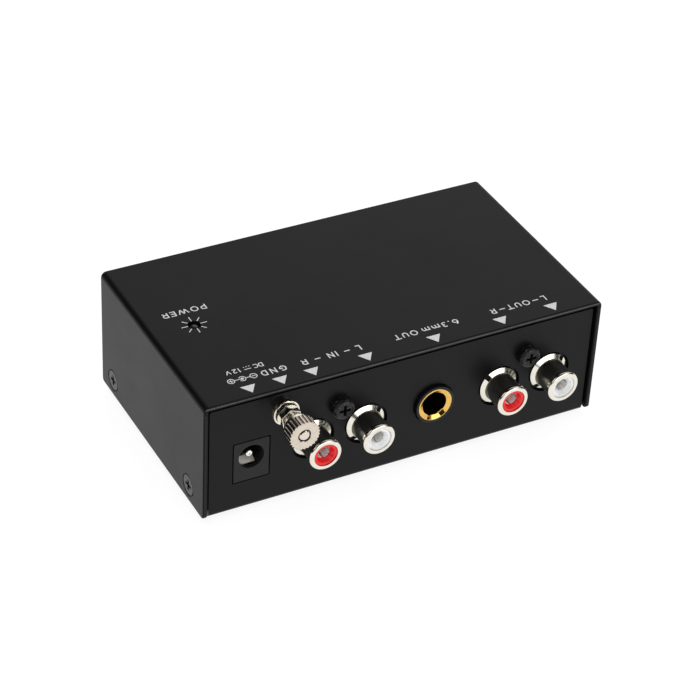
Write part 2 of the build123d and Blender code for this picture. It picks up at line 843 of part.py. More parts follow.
with BuildPart() as dc_inlet_pin:
    with BuildSketch(socket_plane(inlet_x, inlet_z)) as pin_profile:
        Polygon(
            [
                (0, -pin_back),
                (pin_shank_radius, -pin_back),
                (pin_shank_radius, -inlet_bore_depth),
                (pin_radius, -inlet_bore_depth),
                (pin_radius, -pin_inset),
                (pin_dimple_radius, -pin_inset),
                (0, -pin_inset - pin_dimple_radius),
            ]
        )
        fillet(pin_profile.vertices().group_by(Axis.Y)[-1].sort_by(Axis.X)[-1], pin_round)
    revolve(axis=socket_axis(inlet_x, inlet_z))
    box_between(
        (inlet_x - pin_tail_width / 2, panel_y - pin_back, tail_z),
        (inlet_x + pin_tail_width / 2, panel_y - inlet_length, inlet_z + pin_tail_width / 2),
    )
finish(dc_inlet_pin, "dc_inlet_pin")

with BuildPart() as dc_inlet_spring:
    leaf_root_z = board_z + leaf_root_rise
    leaf_crest_z = bore_bottom_z + leaf_crest_rise
    with BuildSketch(Plane.YZ.offset(inlet_x - leaf_width / 2)):
        underside = [
            (-leaf_root_back - leaf_thickness, board_z + lead_gap),
            (-leaf_root_back, board_z + lead_gap),
            (-leaf_root_back, leaf_root_z),
            (-leaf_crest_back, leaf_crest_z - leaf_thickness),
            (-leaf_front_back, leaf_crest_z - leaf_thickness - leaf_front_drop),
            (-leaf_front_back, leaf_crest_z - leaf_front_drop),
            (-leaf_crest_back, leaf_crest_z),
            (-leaf_root_back - leaf_thickness, leaf_root_z + leaf_thickness),
        ]
        Polygon([(panel_y + y, z) for y, z in underside])
    extrude(amount=leaf_width)
    box_between(
        (inlet_x - leaf_leg_width / 2, panel_y - leaf_root_back - leaf_thickness, tail_z),
        (inlet_x + leaf_leg_width / 2, panel_y - leaf_root_back, leaf_root_z),
    )
finish(dc_inlet_spring, "dc_inlet_spring")

with BuildPart() as dc_inlet_side_contact:
    contact_x = side_slot_x + lead_gap
    box_between(
        (contact_x, panel_y - side_contact_back - side_contact_width / 2, tail_z),
        (
            contact_x + side_contact_thickness,
            panel_y - side_contact_back + side_contact_width / 2,
            inlet_z - lead_gap,
        ),
    )
finish(dc_inlet_side_contact, "dc_inlet_side_contact")

# Earth terminal

hex_front = post_flange_height + post_shoulder_height + post_hex_height
collar_back = hex_front + wire_gap
nut_back = collar_back + clamp_collar_height + nut_seat_gap

with BuildPart() as earth_post:
    with BuildSketch(socket_plane(post_x, post_z)) as post_profile:
        shoulder_top = post_flange_height + post_shoulder_height
        turns = int((nut_reach - hex_front - thread_runout) / thread_pitch) - 1
        thread = []
        for turn in range(turns):
            root = hex_front + thread_runout + turn * thread_pitch
            thread += [
                (post_radius - thread_depth, root),
                (post_radius, root + thread_pitch * 0.4),
                (post_radius, root + thread_pitch * 0.6),
            ]
        Polygon(
            [
                (0, -post_inner_length),
                (post_radius - thread_depth, -post_inner_length),
                (post_radius, thread_depth - post_inner_length),
                (post_radius, 0),
                (post_flange_radius, 0),
                (post_flange_radius, post_flange_height * (1 - post_bevel_share)),
                (post_flange_radius - post_bevel, post_flange_height),
                (post_shoulder_radius + post_bevel, post_flange_height),
                (post_shoulder_radius, shoulder_top),
                (post_radius - thread_depth, shoulder_top),
            ]
            + thread
            + [
                (post_radius - thread_depth, nut_reach - thread_depth),
                (post_radius - 2 * thread_depth, nut_reach),
                (0, nut_reach),
            ]
        )
    revolve(axis=socket_axis(post_x, post_z))
    with BuildSketch(rear_plane(-shoulder_top)):
        with Locations((post_x, post_z)):
            RegularPolygon(post_hex_flats / 2, 6, major_radius=False, rotation=post_hex_turn)
    extrude(amount=-post_hex_height)
    hex_faces = earth_post.faces().filter_by(Axis.Y)
    hex_front_face = hex_faces.sort_by(lambda face: abs(face.center().Y - panel_y - hex_front))[0]
    fillet(hex_front_face.outer_wire().edges(), post_hex_round)
finish(earth_post, "earth_post")

with BuildPart() as earth_clamp_collar:
    with BuildSketch(rear_plane(-collar_back)):
        with Locations((post_x, post_z)):
            Circle(clamp_collar_radius)
            Circle(post_radius + running_clearance, mode=Mode.SUBTRACT)
    extrude(amount=-clamp_collar_height)
    outer_edge = earth_clamp_collar.edges().filter_by(GeomType.CIRCLE).group_by(Axis.Y)[0]
    fillet(outer_edge.sort_by(SortBy.RADIUS)[-1], clamp_collar_round)
finish(earth_clamp_collar, "earth_clamp_collar")

with BuildPart() as earth_thumb_nut:
    with BuildSketch(rear_plane(-nut_back)):
        with Locations((post_x, post_z)):
            Circle(nut_radius)
            with PolarLocations(nut_radius + knurl_offset, knurl_count):
                Circle(knurl_radius, mode=Mode.SUBTRACT)
            Circle(post_radius + running_clearance, mode=Mode.SUBTRACT)
    extrude(amount=-nut_height)
    front_edges = earth_thumb_nut.edges().filter_by(GeomType.CIRCLE).group_by(Axis.Y)[-1]
    bore_edge = front_edges.sort_by(lambda edge: abs(edge.radius - post_radius - running_clearance))[0]
    chamfer(bore_edge, nut_chamfer)
finish(earth_thumb_nut, "earth_thumb_nut")

washer_back = sheet + washer_thickness
lug_back = washer_back + lug_thickness
stud_hole_radius = post_radius + push_fit

with BuildPart() as earth_star_washer:
    with BuildSketch(rear_plane(sheet)):
        with Locations((post_x, post_z)):
            Circle(washer_radius)
            Circle(stud_hole_radius, mode=Mode.SUBTRACT)
            with PolarLocations(washer_radius, washer_teeth):
                Rectangle(*washer_gap, mode=Mode.SUBTRACT)
    extrude(amount=washer_thickness)
finish(earth_star_washer, "earth_star_washer")

with BuildPart() as earth_solder_lug:
    with BuildSketch(rear_plane(washer_back)):
        with Locations((post_x, post_z)):
            Circle(lug_radius)
            Rectangle(lug_tail_width, lug_tail_length, align=(Align.CENTER, Align.MAX))
            Circle(stud_hole_radius, mode=Mode.SUBTRACT)
    extrude(amount=lug_thickness)
finish(earth_solder_lug, "earth_solder_lug")

with BuildPart() as earth_lock_nut:
    with BuildSketch(rear_plane(lug_back)):
        with Locations((post_x, post_z)):
            RegularPolygon(lock_nut_flats / 2, 6, major_radius=False)
            Circle(stud_hole_radius, mode=Mode.SUBTRACT)
    extrude(amount=lock_nut_height)
finish(earth_lock_nut, "earth_lock_nut")

lug_tail_z = post_z - lug_tail_length
lead_y = panel_y - lug_back - wire_radius
lead_end_y = lead_y - wire_step
with BuildPart() as earth_lead:
    with BuildLine():
        FilletPolyline(
            (post_x, lead_y, lug_tail_z + wire_lap),
            (post_x, lead_y, lug_tail_z - wire_drop),
            (post_x, lead_end_y, board_z + wire_rise),
            (post_x, lead_end_y, tail_z),
            radius=wire_bend,
        )
    with BuildSketch(Plane(origin=(post_x, lead_y, lug_tail_z + wire_lap), z_dir=(0, 0, -1))):
        Circle(wire_radius)
    sweep()
finish(earth_lead, "earth_lead")

# Power lamp

lamp_top = roof_z - lamp_below_top
lamp_base_z = lamp_top - lamp_length
lamp_legs = [
    (lamp_place[0] - lamp_leg_spacing / 2, lamp_place[1]),
    (lamp_place[0] + lamp_leg_spacing / 2, lamp_place[1]),
]
lamp_axis = Axis((*lamp_place, 0), (0, 0, 1))

with BuildPart() as power_lamp:
    with BuildSketch(Plane.XZ.offset(-lamp_place[1])):
        with BuildLine():
            side = Polyline(
                (lamp_place[0], lamp_base_z),
                (lamp_place[0] + lamp_flange_radius, lamp_base_z),
                (lamp_place[0] + lamp_flange_radius, lamp_base_z + lamp_flange_height),
                (lamp_place[0] + lamp_radius, lamp_base_z + lamp_flange_height),
                (lamp_place[0] + lamp_radius, lamp_top - lamp_radius),
            )
            dome = RadiusArc(side @ 1, (lamp_place[0], lamp_top), -lamp_radius)
            Line(dome @ 1, side @ 0)
        make_face()
    revolve(axis=lamp_axis)
    with BuildSketch(Plane.XY.offset(lamp_base_z)):
        with Locations(*lamp_legs):
            Rectangle(2 * (lead_radius + push_fit), 2 * (lead_radius + push_fit))
    extrude(amount=lamp_leg_depth, mode=Mode.SUBTRACT)
finish(power_lamp, "power_lamp")

with BuildPart() as lamp_wires:
    with BuildSketch(Plane.XY.offset(tail_z)):
        with Locations(*lamp_legs):
            Rectangle(2 * lead_radius, 2 * lead_radius)
    extrude(amount=lamp_base_z + lamp_leg_depth - push_fit - tail_z)
finish(lamp_wires, "power_lamp_leads")

with BuildPart() as lamp_spacer:
    with BuildSketch(Plane.XY.offset(board_z)):
        with Locations(lamp_place):
            Circle(lamp_spacer_radius)
        with Locations(*lamp_legs):
            Rectangle(2 * lead_radius + 2 * lead_gap, 2 * lead_radius + 2 * lead_gap, mode=Mode.SUBTRACT)
    extrude(amount=lamp_base_z - board_z)
finish(lamp_spacer, "power_lamp_spacer")

# Places of the components on the board, from the middle of the case


def board_places(centre, pitch_x, pitch_y, count_x, count_y):
    cx, cy = centre
    return [
        (cx + (i - (count_x - 1) / 2) * pitch_x, middle_y + cy + (j - (count_y - 1) / 2) * pitch_y)
        for i in range(count_x)
        for j in range(count_y)
    ]


def lead_pair(places, pitch):
    return [(x + side * pitch / 2, y) for x, y in places for side in (-1, 1)]


output_stage_x = output_x + output_group_shift
chip_places = {
    "phono_amplifier_chip": (phono_chip_x, middle_y + phono_chip_y),
    "output_amplifier_chip": (output_stage_x, middle_y + output_chip_y),
}
# The film capacitors share the room between the phone socket and the choke
film_first_x = phone_x + phone_width / 2 + film_phone_gap + film_body[0] / 2
film_last_x = choke_x - choke_radius - film_choke_gap - film_body[0] / 2
film_spacing_x = (film_last_x - film_first_x) / (film_columns - 1)
film_places = board_places(
    ((film_first_x + film_last_x) / 2, film_y), film_spacing_x, film_spacing_y, film_columns, film_rows
)
reservoir_places = board_places((reservoir_x, reservoir_y), reservoir_spacing, 0, 2, 1)
coupling_places = board_places(
    (output_stage_x, coupling_y), coupling_spacing_x, coupling_spacing_y, 3, 2
)
resistor_places = board_places((resistor_x, resistor_y), resistor_spacing_x, resistor_spacing_y, 3, 3)
ceramic_places = board_places((phono_chip_x, phono_ceramic_y), ceramic_spacing, 0, 2, 1)
ceramic_places += board_places((output_stage_x, output_ceramic_y), ceramic_spacing, 0, 2, 1)
diode_place = (diode_x, middle_y + diode_y)
choke_place = (choke_x, middle_y + choke_y)
regulator_place = (case_width / 2 - regulator_side_inset, middle_y + regulator_y)
dip_legs = [
    (cx + (i - 1.5) * dip_pitch, cy + side * dip_row_spacing / 2)
    for cx, cy in chip_places.values()
    for i in range(4)
    for side in (-1, 1)
]
regulator_legs = [(regulator_place[0] + i * regulator_leg_pitch, regulator_place[1]) for i in (-1, 0, 1)]
round_leads = (
    lead_pair(film_places, film_pitch)
    + lead_pair(reservoir_places, reservoir_pitch)
    + lead_pair(coupling_places, coupling_pitch)
    + lead_pair(resistor_places, resistor_pitch)
    + lead_pair(ceramic_places, ceramic_pitch)
    + lead_pair([diode_place], diode_pitch)
    + lead_pair([choke_place], choke_pitch)
    + lamp_legs
)

# Circuit board

board_front_y = front_inner_y + board_margin
board_rear_y = panel_inner_y - board_margin
board_width = 2 * (flange_inner_x - board_side_margin)
tab_slot = (earth_tab_width + 2 * lead_gap, earth_tab_thickness + 2 * lead_gap)

with BuildPart() as circuit_board:
    with BuildSketch(Plane.XY.offset(board_bottom_z)):
        with Locations((0, board_front_y)):
            Rectangle(board_width, board_rear_y - board_front_y, align=(Align.CENTER, Align.MIN))
        with Locations(*standoff_places):
            Circle(screw_radius + 2 * screw_clearance, mode=Mode.SUBTRACT)
        with Locations(*round_leads):
            Circle(lead_radius * sqrt(2) + lead_gap, mode=Mode.SUBTRACT)
        with Locations(*dip_legs):
            Circle(dip_leg_width / 2 + lead_gap, mode=Mode.SUBTRACT)
        with Locations(*regulator_legs):
            Circle(regulator_leg_width / 2 + lead_gap, mode=Mode.SUBTRACT)
        for x, _ in rca_sockets.values():
            with Locations((x, panel_y - earth_tab_back - earth_tab_thickness / 2)):
                Rectangle(*tab_slot, mode=Mode.SUBTRACT)
            with Locations((x, panel_y - stem_back - contact_stem_radius / 2)):
                Circle(contact_stem_radius * sqrt(2) + lead_gap, mode=Mode.SUBTRACT)
        with Locations((phone_x, panel_y - phone_tab_back - earth_tab_thickness / 2)):
            Rectangle(*tab_slot, mode=Mode.SUBTRACT)
        for side, back in phone_springs.values():
            leg_x = phone_x + side * (spring_offset + spring_thickness / 2)
            with Locations((leg_x, panel_y - back)):
                Circle(spring_leg_hole_radius, mode=Mode.SUBTRACT)
        with Locations((inlet_x, panel_y - inlet_length - pin_tail_thickness / 2)):
            Rectangle(pin_tail_width + 2 * lead_gap, pin_tail_thickness + 2 * lead_gap, mode=Mode.SUBTRACT)
        with Locations((inlet_x, panel_y - leaf_root_back - leaf_thickness / 2)):
            Circle(leaf_leg_hole_radius, mode=Mode.SUBTRACT)
        with Locations((contact_x + side_contact_thickness / 2, panel_y - side_contact_back)):
            Rectangle(
                side_contact_thickness + 2 * lead_gap,
                side_contact_width + 2 * lead_gap,
                mode=Mode.SUBTRACT,
            )
        with Locations((post_x, lead_end_y)):
            Circle(wire_radius + lead_gap, mode=Mode.SUBTRACT)
    extrude(amount=board_thickness)
finish(circuit_board, "circuit_board")

with BuildPart() as standoffs:
    with BuildSketch(Plane.XY.offset(underside_z + sheet)):
        with Locations(*standoff_places):
            RegularPolygon(standoff_flats / 2, 6, major_radius=False)
    extrude(amount=standoff_length)
    with BuildSketch(Plane.XY.offset(underside_z)):
        with Locations(*standoff_places):
            Circle(standoff_shank_radius)
    extrude(amount=sheet)
    with BuildSketch(Plane.XY.offset(underside_z)):
        with Locations(*standoff_places):
            Circle(screw_radius + push_fit)
    extrude(amount=sheet + standoff_length, mode=Mode.SUBTRACT)
finish(standoffs, "board_standoffs")

with BuildPart() as board_screws:
    for x, y in standoff_places:
        add(pan_screw(Plane(origin=(x, y, board_z)), board_screw_length))
finish(board_screws, "board_screws")

# Chips

for label, (cx, cy) in chip_places.items():
    with BuildPart() as chip:
        length, width, height = dip_body
        with BuildSketch(Plane.XY.offset(board_z + dip_stand)):
            with Locations((cx, cy)):
                Rectangle(length, width)
        extrude(amount=height)
        with BuildSketch(Plane.XY.offset(board_z + dip_stand + height)):
            with Locations((cx - length / 2, cy)):
                Circle(dip_mark_radius)
        extrude(amount=-dip_mark_depth, mode=Mode.SUBTRACT)
        with BuildSketch(Plane.XY.offset(board_z + dip_stand + height / 2 - dip_leg_thickness / 2)):
            with Locations((cx, cy)):
                with GridLocations(dip_pitch, 0, 4, 1):
                    Rectangle(dip_leg_width + push_fit, width)
        extrude(amount=dip_leg_thickness, mode=Mode.SUBTRACT)
    finish(chip, label)

with BuildPart() as chip_frames:
    # Each pair of facing legs is one strip through the body, folded down at both ends
    for cx, cy in chip_places.values():
        for i in range(4):
            x = cx + (i - 1.5) * dip_pitch
            strip_z = board_z + dip_stand + dip_body[2] / 2 - dip_leg_thickness / 2
            half = dip_row_spacing / 2 + dip_leg_thickness / 2
            with BuildSketch(Plane.YZ.offset(x - dip_leg_width / 2)):
                Polygon(
                    [
                        (cy - half, tail_z),
                        (cy - half + dip_leg_thickness, tail_z),
                        (cy - half + dip_leg_thickness, strip_z + push_fit),
                        (cy + half - dip_leg_thickness, strip_z + push_fit),
                        (cy + half - dip_leg_thickness, tail_z),
                        (cy + half, tail_z),
                        (cy + half, strip_z + dip_leg_thickness - push_fit),
                        (cy - half, strip_z + dip_leg_thickness - push_fit),
                    ]
                )
            extrude(amount=dip_leg_width)
finish(chip_frames, "chip_leads")


def radial_leads(places, pitch, top_z):
    # Square wires from under the board up into the component
    with BuildPart() as wires:
        with BuildSketch(Plane.XY.offset(tail_z)):
            with Locations(*lead_pair(places, pitch)):
                Rectangle(2 * lead_radius, 2 * lead_radius)
        extrude(amount=top_z - tail_z)
    return wires.part


def electrolytic_can(place, radius, height):
    # Rolled can with a groove near its seal
    x, y = place
    with BuildPart() as can:
        with BuildSketch(Plane.XZ.offset(-y)):
            Polygon(
                (x, board_z),
                (x + radius, board_z),
                (x + radius, board_z + can_groove_height),
                (x + radius - can_groove_depth, board_z + can_groove_height + can_groove_depth),
                (x + radius, board_z + can_groove_height + 2 * can_groove_depth),
                (x + radius, board_z + height - can_groove_depth),
                (x + radius - can_groove_depth, board_z + height),
                (x, board_z + height),
            )
        revolve(axis=Axis((x, y, 0), (0, 0, 1)))
    return can.part


def axial_body(place, radius, length, pitch):
    # A body lying along X on two bent leads
    x, y = place
    centre_z = board_z + resistor_lift + radius
    with BuildPart() as body:
        with BuildSketch(Plane.YZ.offset(x - length / 2)):
            with Locations((y, centre_z)):
                Circle(radius)
        extrude(amount=length)
        for side in (-1, 1):
            foot_x = x + side * pitch / 2
            xs = sorted((foot_x + side * lead_radius, x + side * (length / 2 - lead_radius)))
            box_between(
                (xs[0], y - lead_radius, centre_z - lead_radius),
                (xs[1], y + lead_radius, centre_z + lead_radius),
            )
            box_between(
                (foot_x - lead_radius, y - lead_radius, tail_z),
                (foot_x + lead_radius, y + lead_radius, centre_z + lead_radius),
            )
    return body.part


with BuildPart() as film_capacitors:
    with BuildSketch(Plane.XY.offset(board_z)):
        with Locations(*film_places):
            Rectangle(film_body[0], film_body[1])
    extrude(amount=film_body[2])
    fillet(film_capacitors.edges().group_by(Axis.Z)[-1], film_round)
    add(radial_leads(film_places, film_pitch, board_z + lead_radius))
finish(film_capacitors, "film_capacitors")

with BuildPart() as reservoir_capacitors:
    for place in reservoir_places:
        add(electrolytic_can(place, reservoir_radius, reservoir_height))
    add(radial_leads(reservoir_places, reservoir_pitch, board_z + lead_radius))
finish(reservoir_capacitors, "reservoir_capacitors")

with BuildPart() as coupling_capacitors:
    for place in coupling_places:
        add(electrolytic_can(place, coupling_radius, coupling_height))
    add(radial_leads(coupling_places, coupling_pitch, board_z + lead_radius))
finish(coupling_capacitors, "coupling_capacitors")

with BuildPart() as ceramic_capacitors:
    with BuildSketch(Plane.XY.offset(board_z + resistor_lift)):
        with Locations(*ceramic_places):
            RectangleRounded(ceramic_body[0], ceramic_body[1], ceramic_round)
    extrude(amount=ceramic_body[2])
    add(radial_leads(ceramic_places, ceramic_pitch, board_z + resistor_lift + lead_radius))
finish(ceramic_capacitors, "ceramic_capacitors")

with BuildPart() as resistors:
    for place in resistor_places:
        add(axial_body(place, resistor_radius, resistor_length, resistor_pitch))
finish(resistors, "resistors")

with BuildPart() as polarity_diode:
    add(axial_body(diode_place, diode_radius, diode_length, diode_pitch))
finish(polarity_diode, "polarity_diode")

with BuildPart() as filter_choke:
    with BuildSketch(Plane(origin=(*choke_place, board_z), x_dir=(1, 0, 0), z_dir=(0, -1, 0))):
        Polygon(
            [
                (0, 0),
                (choke_radius, 0),
                (choke_radius, choke_waist),
                (choke_radius - choke_waist, 2 * choke_waist),
                (choke_radius - choke_waist, choke_height - 2 * choke_waist),
                (choke_radius, choke_height - choke_waist),
                (choke_radius, choke_height),
                (0, choke_height),
            ]
        )
    revolve(axis=Axis((*choke_place, board_z), (0, 0, 1)))
    add(radial_leads([choke_place], choke_pitch, board_z + lead_radius))
finish(filter_choke, "filter_choke")

with BuildPart() as voltage_regulator:
    rx, ry = regulator_place
    base_z = board_z + regulator_lift
    width, thickness, height = regulator_body
    box_between(
        (rx - width / 2, ry - thickness / 2, base_z),
        (rx + width / 2, ry + thickness / 2 - regulator_tab_thickness, base_z + height),
    )
    box_between(
        (rx - width / 2, ry + thickness / 2 - regulator_tab_thickness, base_z),
        (rx + width / 2, ry + thickness / 2, base_z + height + regulator_tab_rise),
    )
    with BuildSketch(Plane.XZ.offset(-(ry + thickness / 2))):
        with Locations((rx, base_z + height + regulator_tab_rise / 2)):
            Circle(regulator_hole_radius)
    extrude(amount=regulator_tab_thickness, mode=Mode.SUBTRACT)
    for x, y in regulator_legs:
        box_between(
            (x - regulator_leg_width / 2, y - regulator_leg_thickness / 2, tail_z),
            (x + regulator_leg_width / 2, y + regulator_leg_thickness / 2, base_z + regulator_leg_depth),
        )
finish(voltage_regulator, "voltage_regulator")
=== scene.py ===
import itertools
import math

import bpy
from mathutils import Matrix, Vector


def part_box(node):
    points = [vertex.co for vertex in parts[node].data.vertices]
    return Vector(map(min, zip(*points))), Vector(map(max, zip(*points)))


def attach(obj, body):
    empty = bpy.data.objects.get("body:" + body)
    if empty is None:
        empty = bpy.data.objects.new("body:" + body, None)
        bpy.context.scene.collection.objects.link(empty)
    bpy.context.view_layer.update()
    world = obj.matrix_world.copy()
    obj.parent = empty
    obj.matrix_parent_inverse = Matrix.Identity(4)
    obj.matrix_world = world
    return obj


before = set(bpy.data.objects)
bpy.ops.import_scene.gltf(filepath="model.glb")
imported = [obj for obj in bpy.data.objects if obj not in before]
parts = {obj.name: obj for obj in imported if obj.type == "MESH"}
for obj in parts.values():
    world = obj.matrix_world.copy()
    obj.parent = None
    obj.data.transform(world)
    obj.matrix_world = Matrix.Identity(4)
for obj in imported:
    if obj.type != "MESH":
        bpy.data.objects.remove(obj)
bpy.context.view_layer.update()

mm = 0.001


class Wire:
    # One socket of a shader; an expression on wires adds its Math nodes
    def __init__(self, graph, socket):
        self.graph = graph
        self.socket = socket

    def math(self, operation, first, second=0.0):
        return self.graph.node("ShaderNodeMath", {"operation": operation}, {0: first, 1: second})

    def __add__(self, other):
        return self.math("ADD", self, other)

    def __radd__(self, other):
        return self.math("ADD", other, self)

    def __sub__(self, other):
        return self.math("SUBTRACT", self, other)

    def __rsub__(self, other):
        return self.math("SUBTRACT", other, self)

    def __mul__(self, other):
        return self.math("MULTIPLY", self, other)

    def __pow__(self, other):
        return self.math("POWER", self, other)

    def __mod__(self, other):
        return self.math("FLOORED_MODULO", self, other)

    def __abs__(self):
        return self.math("ABSOLUTE", self)

    def __lt__(self, other):
        return self.math("LESS_THAN", self, other)

    def __gt__(self, other):
        return self.math("GREATER_THAN", self, other)

    def sibling(self, name):
        return Wire(self.graph, self.socket.node.outputs[name])


class Graph:
    def __init__(self, tree):
        self.tree = tree
        tree.nodes.clear()

    def node(self, kind, settings=None, sockets=None, output=0):
        made = self.tree.nodes.new(kind)
        for name, value in (settings or {}).items():
            setattr(made, name, value)
        for name, value in (sockets or {}).items():
            socket = made.inputs[name]
            if isinstance(value, Wire):
                self.tree.links.new(value.socket, socket)
            elif socket.type == "RGBA":
                socket.default_value = (*value, 1)
            else:
                socket.default_value = value
        return Wire(self, made.outputs[output]) if made.outputs else made

    def place(self):
        return self.node("ShaderNodeTexCoord", output="Object")

    def split(self, vector):
        x = self.node("ShaderNodeSeparateXYZ", {}, {0: vector})
        return x, x.sibling("Y"), x.sibling("Z")

    def axes(self):
        return self.split(self.place())

    def noise(self, place, size, detail=2.0, roughness=0.5):
        # size is the width of one blotch, in metres
        sockets = {"Vector": place, "Scale": 1 / size, "Detail": detail, "Roughness": roughness}
        return self.node("ShaderNodeTexNoise", {}, sockets)

    def fit(self, value, low, high, to=(0.0, 1.0)):
        sockets = {"Value": value, "From Min": low, "From Max": high}
        sockets["To Min"], sockets["To Max"] = to
        return self.node("ShaderNodeMapRange", {"clamp": True}, sockets)

    def mix(self, share, first, second):
        # Inputs 6 and 7 and output 2 are the Mix node's colours
        return self.node("ShaderNodeMix", {"data_type": "RGBA"}, {0: share, 6: first, 7: second}, 2)

    def point(self, x, y, z):
        return self.node("ShaderNodeCombineXYZ", {}, {0: x, 1: y, 2: z})

    def bump(self, height, depth, strength=0.5):
        sockets = {"Strength": strength, "Distance": depth, "Height": height}
        return self.node("ShaderNodeBump", {}, sockets)

    def surface(self, sockets):
        shader = self.node("ShaderNodeBsdfPrincipled", {}, sockets)
        self.node("ShaderNodeOutputMaterial", {}, {"Surface": shader})


def newMaterial(name):
    material = bpy.data.materials.new(name)
    material.use_nodes = True
    return material, Graph(material.node_tree)


def finishPart(names, material):
    for name in names:
        for slot in parts[name].material_slots:
            slot.material = material


def scaled(colour, share):
    return tuple(share * channel for channel in colour)


falling = (1.0, 0.0)  # a range that runs down instead of up
evenNoise = 0.5  # the level that noise varies around

# Case, screws and moulded pieces

caseCoat = {
    "colour": (0.0038, 0.0038, 0.0042),
    "lightGrain": 1.35,
    "roughness": (0.32, 0.37),
    "grain": 0.16 * mm,
    "grainDepth": 0.003 * mm,
    "grainRoughness": 0.05,
    "orangePeel": 1.4 * mm,
    "peelHeight": 0.6,
    "handling": 14 * mm,
    "bump": 0.55,
    "ior": 1.2,
}
chassisCoat = {**caseCoat, "ior": 1.235}
# Painted highlight: a lighter, glossier line on the cover's sheared ends, strongest along the top,
# standing in for light on the rounded cut edge
edgeHighlightLook = {
    "colour": (0.085, 0.085, 0.087),
    "depth": 0.05 * mm,
    "lineStart": (0.3 * mm, 0.45 * mm),
    "lineEnd": (0.65 * mm, 0.85 * mm),
    "topBand": (2.5 * mm, 1.2 * mm),
    "sideShare": 0.2,
    "patches": (0.7, 1.0),
    "roughness": 0.15,
}
coverLow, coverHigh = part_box("top_cover")


def paintedEdgeLine(graph, look):
    # Painted highlight: a lighter line on the cover's sheared ends, strongest along the top, stands
    # in for light caught by the rounded cut edge
    x, y, z = graph.axes()
    middle = (coverLow.y + coverHigh.y) / 2
    end = abs(y - middle) > (coverHigh.y - coverLow.y) / 2 - look["depth"]
    topStart, topEnd = look["topBand"]
    topmost = graph.fit(z, coverHigh.z - topStart, coverHigh.z - topEnd)
    depth = topmost * (coverHigh.z - z) + (1 - topmost) * (coverHigh.x - abs(x))
    line = graph.fit(depth, *look["lineStart"]) * graph.fit(depth, *look["lineEnd"], falling)
    return end * line * (look["sideShare"] + topmost * (1 - look["sideShare"]))


def coatedSteel(name, look):
    material, graph = newMaterial(name)
    place = graph.place()
    grain = graph.noise(place, look["grain"], detail=2.0, roughness=0.6)
    peel = graph.noise(place, look["orangePeel"], detail=1.0)
    handled = graph.noise(place, look["handling"], detail=4.0, roughness=0.6)
    light = scaled(look["colour"], look["lightGrain"])
    coat = graph.mix(graph.fit(grain, 0.3, 0.75), look["colour"], light)
    smooth = graph.fit(handled, 0.35, 0.7, look["roughness"])
    roughness = smooth + (grain - evenNoise) * look["grainRoughness"]
    # Painted highlight along the cover's sheared ends, broken up by the orange peel
    patches = graph.fit(peel, 0.2, 0.6, edgeHighlightLook["patches"])
    paintedHighlight = paintedEdgeLine(graph, edgeHighlightLook) * patches
    relief = grain + peel * look["peelHeight"]
    graph.surface({
        "Base Color": graph.mix(paintedHighlight, coat, edgeHighlightLook["colour"]),
        "Roughness": roughness + paintedHighlight * edgeHighlightLook["roughness"],
        "IOR": look["ior"],
        "Normal": graph.bump(relief, look["grainDepth"], look["bump"]),
    })
    return material


finishPart(["top_cover"], coatedSteel("coverCoat", caseCoat))
finishPart(["chassis"], coatedSteel("chassisCoat", chassisCoat))

screwSteel = {
    "colour": (0.005, 0.005, 0.0055),
    "wornColour": (0.1, 0.1, 0.1),
    "wear": 0.6 * mm,
    "scale": 0.12 * mm,
    "scaleDepth": 0.006 * mm,
    "roughness": 0.3,
    "roughnessSpread": 0.3,
    "ior": 1.36,
}


def blackenedSteel(name, look):
    material, graph = newMaterial(name)
    place = graph.place()
    scale = graph.noise(place, look["scale"], detail=3.0, roughness=0.65)
    worn = graph.fit(graph.noise(place, look["wear"], detail=3.0, roughness=0.7), 0.58, 0.72)
    graph.surface({
        "Base Color": graph.mix(worn, look["colour"], look["wornColour"]),
        "Roughness": look["roughness"] + (scale - evenNoise) * look["roughnessSpread"],
        "IOR": look["ior"],
        "Normal": graph.bump(scale, look["scaleDepth"], strength=0.6),
    })
    return material


finishPart(["cover_screws", "socket_screws"], blackenedSteel("blackenedSteel", screwSteel))

mouldings = {
    "inletMoulding": {
        "names": ["dc_inlet_body"],
        "colour": (0.009, 0.009, 0.0095),
        "roughness": 0.52,
        "grain": 0.22 * mm,
    },
    "socketMoulding": {
        "names": ["phone_socket_body", "input_socket_block", "output_socket_block"],
        "colour": (0.006, 0.006, 0.0065),
        "roughness": 0.4,
        "grain": 0.3 * mm,
    },
    "footRubber": {
        "names": ["rubber_feet"],
        "colour": (0.012, 0.012, 0.012),
        "roughness": 0.75,
        "grain": 0.35 * mm,
    },
    "chipEpoxy": {
        "names": ["phono_amplifier_chip", "output_amplifier_chip"],
        "colour": (0.014, 0.014, 0.015),
        "roughness": 0.6,
        "grain": 0.12 * mm,
    },
    "naturalNylon": {
        "names": ["power_lamp_spacer"],
        "colour": (0.72, 0.7, 0.62),
        "roughness": 0.45,
        "grain": 0.4 * mm,
    },
    "leadInsulation": {
        "names": ["earth_lead"],
        "colour": (0.06, 0.2, 0.045),
        "roughness": 0.42,
        "grain": 0.5 * mm,
    },
    "redInsulator": {
        "names": ["input_right_insulator", "output_right_insulator"],
        "colour": (0.86, 0.012, 0.014),
        "roughness": 0.24,
        "grain": 0.25 * mm,
        "ior": 1.4,
        "gloss": 0.15,
    },
    "whiteInsulator": {
        "names": ["input_left_insulator", "output_left_insulator"],
        "colour": (0.93, 0.93, 0.94),
        "roughness": 0.24,
        "grain": 0.25 * mm,
        "ior": 1.47,
        "gloss": 0.15,
    },
}
# Sizes of the clouds and of the relief are in grains
mouldedSkin = {
    "cloud": 9,
    "darkCloud": 0.8,
    "cloudRoughness": 0.12,
    "sparkRoughness": 0.16,
    "relief": 0.03,
    "ior": 1.33,
    "coatRoughness": 0.12,
}


